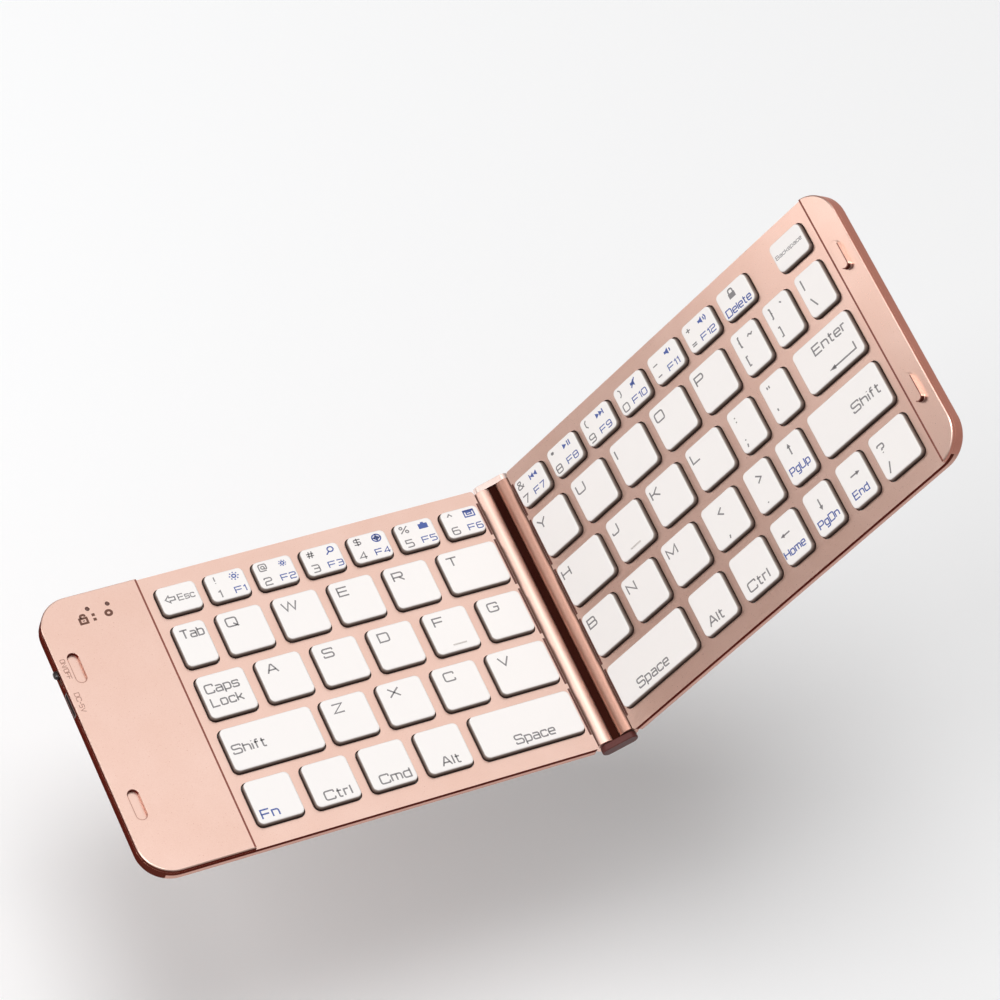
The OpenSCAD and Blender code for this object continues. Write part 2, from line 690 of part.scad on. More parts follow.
left_bottom_case();
left_key_frame();
left_end_panel();
left_support_plate();
left_membrane();
left_dome_sheet();
left_hinge_barrel();
left_magnets();
left_feet();
left_screws();
circuit_board();
battery();
usb_socket();
indicator_lights();
power_switch_body();
power_switch_knob();
left_number_keys();
tab_key();
qwer_keys();
t_key();
caps_lock_key();
asdfg_keys();
left_shift_key();
zxc_keys();
v_key();
left_modifier_keys();
left_space_key();
hinge_spine();
front_hinge_cap();
back_hinge_cap();
left_hinge_pins();
right_hinge_pins();
hinge_cable();
right_bottom_case();
right_key_frame();
right_end_strip();
right_support_plate();
right_membrane();
right_dome_sheet();
right_hinge_barrel();
right_magnets();
right_feet();
right_screws();
right_number_keys();
backspace_key();
yuiop_keys();
bracket_keys();
h_key();
jkl_keys();
punctuation_keys();
enter_key();
bnm_keys();
period_up_keys();
right_shift_key();
right_space_key();
right_modifier_keys();
arrow_keys();
slash_key();
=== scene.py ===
import json
import math

import bmesh
import bpy
import numpy as np
from mathutils import Matrix, Vector

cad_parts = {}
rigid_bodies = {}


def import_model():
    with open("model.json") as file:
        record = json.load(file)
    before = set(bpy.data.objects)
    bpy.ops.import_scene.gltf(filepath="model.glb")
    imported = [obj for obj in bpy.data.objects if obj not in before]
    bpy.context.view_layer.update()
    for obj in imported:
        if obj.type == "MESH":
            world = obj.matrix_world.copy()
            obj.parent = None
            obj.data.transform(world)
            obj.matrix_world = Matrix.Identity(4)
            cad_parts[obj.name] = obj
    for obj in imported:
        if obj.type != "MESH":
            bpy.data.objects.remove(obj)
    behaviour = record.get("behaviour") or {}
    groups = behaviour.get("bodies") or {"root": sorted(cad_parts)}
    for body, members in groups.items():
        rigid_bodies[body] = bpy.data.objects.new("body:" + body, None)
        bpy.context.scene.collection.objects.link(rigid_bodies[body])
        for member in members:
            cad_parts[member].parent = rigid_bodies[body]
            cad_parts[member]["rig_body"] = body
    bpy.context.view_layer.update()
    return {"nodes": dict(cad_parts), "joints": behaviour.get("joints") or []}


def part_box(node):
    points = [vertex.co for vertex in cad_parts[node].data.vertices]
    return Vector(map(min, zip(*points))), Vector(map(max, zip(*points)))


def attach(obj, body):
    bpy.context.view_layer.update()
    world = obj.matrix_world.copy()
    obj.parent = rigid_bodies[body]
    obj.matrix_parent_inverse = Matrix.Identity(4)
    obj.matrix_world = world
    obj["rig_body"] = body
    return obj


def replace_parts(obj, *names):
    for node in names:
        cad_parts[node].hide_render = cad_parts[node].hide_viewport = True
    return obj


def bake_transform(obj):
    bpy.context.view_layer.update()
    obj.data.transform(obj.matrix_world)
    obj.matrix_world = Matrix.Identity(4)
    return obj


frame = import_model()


# ---------------------------------------------------------------------------
# The camera: a long lens above the left front corner, turned a little on its
# own axis, so the keyboard lies askew in a square picture.
# ---------------------------------------------------------------------------
MM = 0.001

# Where the camera stands, in millimetres, and the direction from the keyboard to it.
camera_place = (-484.52, -495.29, 1062.86)
view_line = (0.40303, 0.41319, 0.81661)
camera_turn = math.degrees(math.atan2(view_line[0], view_line[1]))
camera_down = math.degrees(math.asin(view_line[2]))
camera_roll = 23.62
focal_length = 158.82
film_width = 36.0
sight_end = 20.0

lens = bpy.data.cameras.new("camera")
lens.lens = focal_length
lens.sensor_width = film_width
lens.clip_end = sight_end
camera = bpy.data.objects.new("camera", lens)
camera.matrix_world = (
    Matrix.Translation(MM * Vector(camera_place))
    @ Matrix.Rotation(math.radians(-camera_turn), 4, "Z")
    @ Matrix.Rotation(math.radians(90 - camera_down), 4, "X")
    @ Matrix.Rotation(math.radians(camera_roll), 4, "Z")
)
bpy.context.scene.collection.objects.link(camera)
bpy.context.scene.camera = camera
bpy.context.scene.view_settings.view_transform = "Standard"


# ---------------------------------------------------------------------------
# The studio: a white floor a hand's breadth below the keyboard, which hangs in
# the air as if tossed, under four soft lamps and a pale surround. Every finish
# here and further on is a node material, built by the two classes below.
# ---------------------------------------------------------------------------
class Wire:
    """One output socket: + - * / on it add Math nodes to the tree that it is in."""

    def __init__(self, finish, socket):
        self.finish = finish
        self.socket = socket

    def math(self, operation, *values):
        settings = {"operation": operation}
        return self.finish.node("ShaderNodeMath", settings, dict(enumerate(values)))

    def __add__(self, other):
        return self.math("ADD", self, other)

    def __sub__(self, other):
        return self.math("SUBTRACT", self, other)

    def __rsub__(self, other):
        return self.math("SUBTRACT", other, self)

    def __mul__(self, other):
        return self.math("MULTIPLY", self, other)

    __radd__ = __add__
    __rmul__ = __mul__

    def __truediv__(self, other):
        return self.math("DIVIDE", self, other)

    def clamp(self):
        return self.finish.node("ShaderNodeClamp", {}, {0: self})


class Finish:
    """A material with an empty node tree, filled by node(). The world can own the tree in its place."""

    def __init__(self, name, owner=None):
        self.material = owner or bpy.data.materials.new(name)
        self.material.use_nodes = True
        self.tree = self.material.node_tree
        self.tree.nodes.clear()

    def node(self, kind, settings, values, output=0):
        """Adds a node: settings first (a ramp's stops among them), then its sockets."""
        made = self.tree.nodes.new(kind)
        for key, value in settings.items():
            if key == "stops":
                ramp = made.color_ramp
                while len(ramp.elements) < len(value):
                    ramp.elements.new(0.5)
                for element, (place, colour) in zip(ramp.elements, value):
                    element.position = place
                    element.color = (*colour, 1)
            else:
                setattr(made, key, value)
        for key, value in values.items():
            if isinstance(value, Wire):
                self.tree.links.new(value.socket, made.inputs[key])
            elif isinstance(value, tuple) and len(value) == 3 and made.inputs[key].type == "RGBA":
                made.inputs[key].default_value = (*value, 1)
            else:
                made.inputs[key].default_value = value
        return None if output is None else Wire(self, made.outputs[output])

    def place(self):
        return self.node("ShaderNodeTexCoord", {}, {}, "Object")

    def noise(self, scale, detail=2.0):
        values = {"Vector": self.place(), "Scale": scale, "Detail": detail}
        return self.node("ShaderNodeTexNoise", {}, values)

    def blend(self, factor, first, second):
        """Colour between first and second."""
        settings = {"data_type": "RGBA"}
        return self.node("ShaderNodeMix", settings, {0: factor, 6: first, 7: second}, 2)

    def bump(self, height, strength, distance):
        values = {"Height": height, "Strength": strength, "Distance": distance}
        return self.node("ShaderNodeBump", {}, values)

    def surface(self, **sockets):
        """Ends the tree in a Principled shader; socket names take _ for a space."""
        values = {name.replace("_", " "): value for name, value in sockets.items()}
        return self.output(self.node("ShaderNodeBsdfPrincipled", {}, values))

    def output(self, shader):
        self.node("ShaderNodeOutputMaterial", {}, {"Surface": shader}, None)
        return self.material


# Lengths in the studio are in metres. A floor tone's place is its distance from the middle.
floor_drop = 0.120
floor_reach = 4.0
floor_white = (0.96, 0.965, 0.97)
floor_far = (0.42, 0.365, 0.345)
white_to = 0.50
far_from = 1.0
tones_reach = 2.0
sky_level = 0.40
sky_tones = [
    (0.30, (0.27, 0.225, 0.21)), (0.50, (0.27, 0.225, 0.21)), (0.60, (0.52, 0.49, 0.475)),
    (0.72, (0.80, 0.79, 0.785)), (0.90, (1.0, 1.0, 1.0))]

corners = [(x * floor_reach, y * floor_reach, -floor_drop) for x, y in ((-1, -1), (1, -1), (1, 1), (-1, 1))]
mesh = bpy.data.meshes.new("studio_floor")
mesh.from_pydata(corners, [], [(0, 1, 2, 3)])
floor = bpy.data.objects.new("studio_floor", mesh)
bpy.context.scene.collection.objects.link(floor)
paint = Finish("studio_floor")
away = paint.node("ShaderNodeVectorMath", {"operation": "LENGTH"}, {0: paint.place()}, "Value")
floor_tones = [(white_to / tones_reach, floor_white), (far_from / tones_reach, floor_far)]
falling = paint.node("ShaderNodeValToRGB", {"stops": floor_tones}, {0: away / tones_reach})
floor.data.materials.append(paint.output(paint.node("ShaderNodeBsdfDiffuse", {}, {"Color": falling})))


def lamp(name, place, aim, size, power):
    """A square soft lamp at a place, facing an aim point, of a power in watts."""
    light = bpy.data.lights.new(name, "AREA")
    light.size = size
    light.energy = power
    piece = bpy.data.objects.new(name, light)
    away = Vector(place) - Vector(aim)
    piece.matrix_world = Matrix.Translation(place) @ away.to_track_quat("Z", "Y").to_matrix().to_4x4()
    bpy.context.scene.collection.objects.link(piece)
    return piece


lamp("soft_lamp", (-0.48, 0.20, 2.95), (0, 0, 0.03), 1.2, 37.0)
lamp("card_lamp", (1.0, 1.0, 2.0), (0, 0, 0), 1.76, 5.3)
lamp("side_lamp", (-1.80, 0.0, 1.75), (0, 0, 0.05), 1.4, 19.5)
lamp("end_lamp", (-0.50, 0.36, 0.19), (0.03, 0.02, 0.08), 0.20, 0.30)

world = bpy.data.worlds.new("surround")
bpy.context.scene.world = world
sky = Finish("surround", world)
facing = sky.node("ShaderNodeTexCoord", {}, {}, "Generated")
height = sky.node("ShaderNodeSeparateXYZ", {}, {0: facing}, "Z")
tone = sky.node("ShaderNodeValToRGB", {"stops": sky_tones}, {0: height * 0.5 + 0.5})
shine = sky.node("ShaderNodeBackground", {}, {"Color": tone, "Strength": sky_level})
sky.node("ShaderNodeOutputWorld", {}, {"Surface": shine}, None)


# ---------------------------------------------------------------------------
# The shells: thin rose-gold anodised aluminium, blasted to a fine satin, with
# a rounded lower edge on the trays and a crisp broken edge on the decks. The trays
# and the side and end walls take darker copies of the rose: painted shade and painted reflection.
# ---------------------------------------------------------------------------
# Each half has a frame of its own, in millimetres: x to the reader's right from the deck's hinge edge,
# y from the front edge to the back, and z up from the deck. The two hinge pins give the angle.
pins = {joint["name"]: np.array(joint["pos_m"]) for joint in frame["joints"] if "hinge" in joint["name"]}
left_pin = pins["left_hinge"]
right_pin = pins["right_hinge"]
link_tilt = math.atan2(right_pin[2] - left_pin[2], right_pin[0] - left_pin[0])
deck_low, deck_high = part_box("left_key_frame")
edge_to_pin = (left_pin[0] - deck_high.x) / MM
pin_drop = (deck_high.z - left_pin[2]) / MM


class Half:
    """A half's frame: place() turns its millimetres into the row's metres, and find() turns metres back."""

    def __init__(self, body, tilt, edge):
        self.body = body
        across, up = math.cos(tilt), math.sin(tilt)
        self.axes = np.array([[across, 0, up], [0, 1, 0], [-up, 0, across]])
        self.edge = edge

    def place(self, points):
        return self.edge + MM * np.asarray(points, float) @ self.axes

    def find(self, points):
        return (np.asarray(points, float) - self.edge) @ self.axes.T / MM


left = Half("left_half", 0.0, np.array([deck_high.x, deck_low.y, deck_high.z]))
right = Half("right_half", 2 * link_tilt, np.array([right_pin[0], deck_low.y, right_pin[2]]))
right.edge = right.place([edge_to_pin, 0, pin_drop])
half_depth = (deck_high.y - deck_low.y) / MM
half_turn = {left.body: 1, right.body: -1}

smooth_turn = 40.0


def even_normals(made):
    """Shades a piece smooth and keeps its broad faces flat: they decide the normals at their rims."""
    made.data.shade_smooth()
    made.data.set_sharp_from_angle(angle=math.radians(smooth_turn))
    weigh = made.modifiers.new("normals", "WEIGHTED_NORMAL")
    weigh.keep_sharp = True
    weigh.weight = 100
    with bpy.context.temp_override(object=made, active_object=made, selected_objects=[made]):
        bpy.ops.object.modifier_apply(modifier=weigh.name)


most_upward = 0.6
least_toward = 0.45


def side_faces(made, half, finish, toward=None, below=math.inf, above=-math.inf):
    """Gives a further finish to the faces between two levels that look sideways in the half's frame: to
    all of them, or only to those that look toward a direction."""
    made.data.materials.append(finish)
    for face in made.data.polygons:
        out = half.axes @ np.array(face.normal)
        level = half.find([face.center[:]])[0, 2]
        chosen = toward is None or np.dot(out, toward) > least_toward
        if abs(out[2]) < most_upward and above < level < below and chosen:
            face.material_index = len(made.data.materials) - 1


merge_within = 0.002
flat_turn = 0.6
edge_turn = 35.0


def softened(node, finish, width, steps=2):
    """A copy of a CAD node with its coplanar triangles joined and its edges rounded by width mm."""
    source = frame["nodes"][node]
    shape = bmesh.new()
    shape.from_mesh(source.data)
    bmesh.ops.remove_doubles(shape, verts=shape.verts, dist=merge_within * MM)
    bmesh.ops.dissolve_limit(
        shape, angle_limit=math.radians(flat_turn), verts=shape.verts, edges=shape.edges)
    mesh = bpy.data.meshes.new(node + "_skin")
    shape.to_mesh(mesh)
    shape.free()
    made = bpy.data.objects.new(node + "_skin", mesh)
    bpy.context.scene.collection.objects.link(made)
    mesh.materials.clear()
    mesh.materials.append(finish)
    if width:
        edge = made.modifiers.new("edges", "BEVEL")
        edge.width = width * MM
        edge.segments = steps
        edge.limit_method = "ANGLE"
        edge.angle_limit = math.radians(edge_turn)
        with bpy.context.temp_override(object=made, active_object=made, selected_objects=[made]):
            bpy.ops.object.modifier_apply(modifier=edge.name)
    even_normals(made)
    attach(made, source["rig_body"])
    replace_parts(made, node)
    return made


rose = (0.93, 0.655, 0.56)
rose_deep = (0.88, 0.59, 0.49)
# This paler rose is a painted highlight, on the nubs' sides and on the back hinge cap's rim.
painted_highlight_rose = (1.0, 0.86, 0.80)
# The end, wall and maroon tones below are darker copies of the rose: painted shade and painted reflection
# for the trays and the side and end walls.
end_painted_shade = (0.72, 0.30, 0.225)
end_painted_shade_deep = (0.64, 0.25, 0.18)
tray_painted_shade = (0.60, 0.33, 0.26)
tray_painted_shade_deep = (0.52, 0.27, 0.21)
wall_painted_shade = (0.13, 0.048, 0.038)
wall_painted_shade_deep = (0.09, 0.030, 0.024)
wall_painted_shade_edge = (0.50, 0.28, 0.24)
grain_scale = 3500.0
cloud_scale = 60.0
grain_deep = 0.00003
grain_gloss = 0.2
drift_gain = 1.6
deck_edge = 0.16
cover_edge = 0.12
hair = 0.01


def rose_metal(name, roughness=0.32, light=rose, deep=rose_deep, grip=0.10, metal=1.0, edge=(1, 1, 1)):
    """Satin metal: its colour drifts in clouds and grain, and the grain breaks up gloss and surface."""
    paint = Finish(name)
    clouds = paint.noise(cloud_scale, 3.0)
    grain = paint.noise(grain_scale, 2.0)
    drift = ((clouds + grain - 1.0) * drift_gain + 0.5).clamp()
    gloss = (grain - 0.5) * grain_gloss + roughness
    tone = paint.blend(drift, deep, light)
    dents = paint.bump(grain, grip, grain_deep)
    return paint.surface(Base_Color=tone, Metallic=metal, Roughness=gloss, Specular_Tint=edge, Normal=dents)


shell_metal = rose_metal("rose_metal")
painted_shade_metal = rose_metal("painted_shade_metal", 0.45, wall_painted_shade, wall_painted_shade_deep, edge=wall_painted_shade_edge)
wall_metal = rose_metal("wall_metal", 0.36, tray_painted_shade, tray_painted_shade_deep)
end_metal = rose_metal("end_metal", 0.45, end_painted_shade, end_painted_shade_deep, metal=0.4)
nub_painted_highlight_metal = rose_metal("nub_painted_highlight_metal", 0.45, painted_highlight_rose, rose)
panel_top = left.find([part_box("left_end_panel")[1]])[0, 2]
over_panel = panel_top + hair
front = (0, -1, 0)
# In each half the trays, the decks' side walls, the covers' walls and the nubs' fronts take darker copies of
# the rose as painted shade and painted reflection. The nubs' sides toward the end take a paler copy as a
# painted highlight.
for half, tray, deck, cover, end_wall_shade in (
        (left, "left_bottom_case", "left_key_frame", "left_end_panel", painted_shade_metal),
        (right, "right_bottom_case", "right_key_frame", "right_end_strip", end_metal)):
    end = (-half_turn[half.body], 0, 0)
    side_faces(softened(tray, wall_metal, 0), half, end_wall_shade, end)
    made = softened(deck, shell_metal, deck_edge)
    side_faces(made, half, painted_shade_metal)
    side_faces(made, half, end_wall_shade, end)
    made = softened(cover, shell_metal, cover_edge)
    side_faces(made, half, end_wall_shade, below=over_panel)
    side_faces(made, half, nub_painted_highlight_metal, end, above=over_panel)
    side_faces(made, half, painted_shade_metal, front, above=over_panel)


# ---------------------------------------------------------------------------
# The keycaps: satin white moulded caps, hollow underneath, with drawn-in walls
# and a soft edge round a flat top. Each sits in a window of the deck, and its
# place comes from the frame.
# ---------------------------------------------------------------------------
cap_white = (0.92, 0.887, 0.868)
# The caps' wall tones, by height over the deck, are painted shade: darker towards the foot.
cap_wall_painted_shade_tones = [
    (0.0, (0.045, 0.024, 0.018)), (0.30, (0.095, 0.066, 0.056)), (0.58, (0.22, 0.19, 0.17)),
    (0.80, (0.42, 0.39, 0.365)), (0.89, (0.76, 0.74, 0.72)), (0.95, cap_white)]
cap_round = 0.45
cap_draw = 0.26
cap_corner = 1.9
cap_wall = 0.9
cap_roof = 0.9
cap_edge_steps = 5
cap_grain_scale = 9000.0
least_bend = 0.25


def piece(name, points, faces, body, finish, slot):
    """A mesh object from points in metres and faces, riding on a body if one is given."""
    mesh = bpy.data.meshes.new(name)
    mesh.from_pydata(np.asarray(points).tolist(), [], faces)
    made = bpy.data.objects.new(name, mesh)
    bpy.context.scene.collection.objects.link(made)
    made.data.materials.append(finish)
    even_normals(made)
    if body:
        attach(made, body)
    return made


def cap_boxes(node, half):
    """The separate caps in a CAD node, each as its low and high corner in the half's millimetres."""
    shape = bmesh.new()
    shape.from_mesh(frame["nodes"][node].data)
    bmesh.ops.remove_doubles(shape, verts=shape.verts, dist=merge_within * MM)
    waiting = set(shape.verts)
    boxes = []
    while waiting:
        front = [waiting.pop()]
        island = []
        while front:
            vertex = front.pop()
            island.append(vertex.co[:])
            near = {edge.other_vert(vertex) for edge in vertex.link_edges} & waiting
            waiting -= near
            front.extend(near)
        found = half.find(island)
        boxes.append((found.min(0), found.max(0)))
    shape.free()
    return sorted(boxes, key=lambda box: box[0][0])


def rounded_ring(low, high, radius, inset, height, steps=6):
    """A rounded rectangle, drawn in by inset, at a height: four quarter arcs, counter-clockwise."""
    bend = max(radius - inset, least_bend)
    turns = np.linspace(0, math.pi / 2, steps + 1)[None, :] + math.pi / 2 * np.arange(4)[:, None]
    side_x = np.array([high[0], low[0], low[0], high[0]])[:, None]
    side_y = np.array([high[1], high[1], low[1], low[1]])[:, None]
    inward_x = np.array([-1, 1, 1, -1])[:, None] * (inset + bend)
    inward_y = np.array([-1, -1, 1, 1])[:, None] * (inset + bend)
    x = side_x + inward_x + bend * np.cos(turns)
    y = side_y + inward_y + bend * np.sin(turns)
    return np.stack([x.ravel(), y.ravel(), np.full(x.size, height)], 1)


def closed_rings(rings, looped=False):
    """Faces that join rings of equal length in turn, and close both ends or join the last to the first."""
    count, around = len(rings), len(rings[0])
    start = around * np.arange(count if looped else count - 1)[:, None]
    here = np.arange(around)[None, :]
    ahead = (here + 1) % around
    quads = np.stack([start + here, start + ahead, start + around + ahead, start + around + here], 2)
    faces = (quads.reshape(-1, 4) % (count * around)).tolist()
    if not looped:
        faces.append(list(range(around))[::-1])
        faces.append(list(range((count - 1) * around, count * around)))
    return np.concatenate(rings), faces


def gathered(shapes):
    """Many shapes, each its points and faces, as one."""
    starts = np.cumsum([0] + [len(points) for points, _ in shapes])
    faces = [[start + corner for corner in face]
             for start, (_, part) in zip(starts, shapes) for face in part]
    return np.concatenate([points for points, _ in shapes]), faces


def cap_shape(low, high):
    """Rings from the hollow's roof down its wall, under the foot, up the outside and over the edge."""
    foot, top = low[2], high[2]
    rings = [rounded_ring(low, high, cap_corner, cap_wall, top - cap_roof)]
    rings.append(rounded_ring(low, high, cap_corner, cap_wall, foot))
    rings.append(rounded_ring(low, high, cap_corner, 0.0, foot))
    for turn in np.linspace(0, math.pi / 2, cap_edge_steps):
        inset = cap_draw + cap_round * (1 - math.cos(turn))
        rings.append(rounded_ring(low, high, cap_corner, inset, top - cap_round * (1 - math.sin(turn))))
    return closed_rings(rings)


def cap_plastic_painted_shade():
    """White plastic, painted darker down its wall to near black at the foot: painted shade, the shade deep
    in its window.
    """
    paint = Finish("cap_plastic_painted_shade")
    grain = paint.noise(cap_grain_scale, 1.0)
    rise = paint.node("ShaderNodeAttribute", {"attribute_name": "rise"}, {}, "Fac")
    tone = paint.node("ShaderNodeValToRGB", {"stops": cap_wall_painted_shade_tones}, {0: rise})
    return paint.surface(
        Base_Color=tone, Roughness=grain * 0.1 + 0.40, Normal=paint.bump(grain, 0.04, 0.00001))


def rise_on(made, half, top):
    """Keeps each point's height over the deck, as a share of the cap's top, on the mesh."""
    places = np.empty(3 * len(made.data.vertices))
    made.data.vertices.foreach_get("co", places)
    rise = made.data.attributes.new("rise", "FLOAT", "POINT")
    rise.data.foreach_set("value", half.find(places.reshape(-1, 3))[:, 2] / top)


cap_painted_shade_finish = cap_plastic_painted_shade()
left_rows = (
    "left_number_keys", "tab_key", "qwer_keys", "t_key", "caps_lock_key", "asdfg_keys",
    "left_shift_key", "zxc_keys", "v_key", "left_modifier_keys", "left_space_key")
right_rows = (
    "right_number_keys", "backspace_key", "yuiop_keys", "bracket_keys", "h_key", "jkl_keys",
    "punctuation_keys", "enter_key", "bnm_keys", "period_up_keys", "right_shift_key",
    "right_space_key", "right_modifier_keys", "arrow_keys", "slash_key")
caps = {}
half_of = {}
for half, rows in ((left, left_rows), (right, right_rows)):
    for node in rows:
        caps[node] = cap_boxes(node, half)
        half_of[node] = half
        points, faces = gathered([cap_shape(low, high) for low, high in caps[node]])
        made = piece(node + "_caps", half.place(points), faces, node, cap_painted_shade_finish, "keycaps")
        rise_on(made, half, caps[node][0][1][2])
        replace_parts(made, node)


# ---------------------------------------------------------------------------
# The legends: thin grey strokes pad-printed in a wide square letter, with
# second functions in blue. Each sign is drawn by pen on a grid 6 units high.
# ---------------------------------------------------------------------------
grey_ink = (0.215, 0.205, 0.21)
blue_ink = (0.065, 0.105, 0.33)
brown_ink = (0.13, 0.050, 0.030)
rose_ink = (0.38, 0.20, 0.155)
pen_share = 0.17
sign_broad = 1.12
pen_bend = 1.5
bend_points = 6
circle_points = 21
sign_gap = 1.7
sign_high = 6.0
least_mitre = 0.5
ink_sunk = 0.02
ink_thick = 0.012

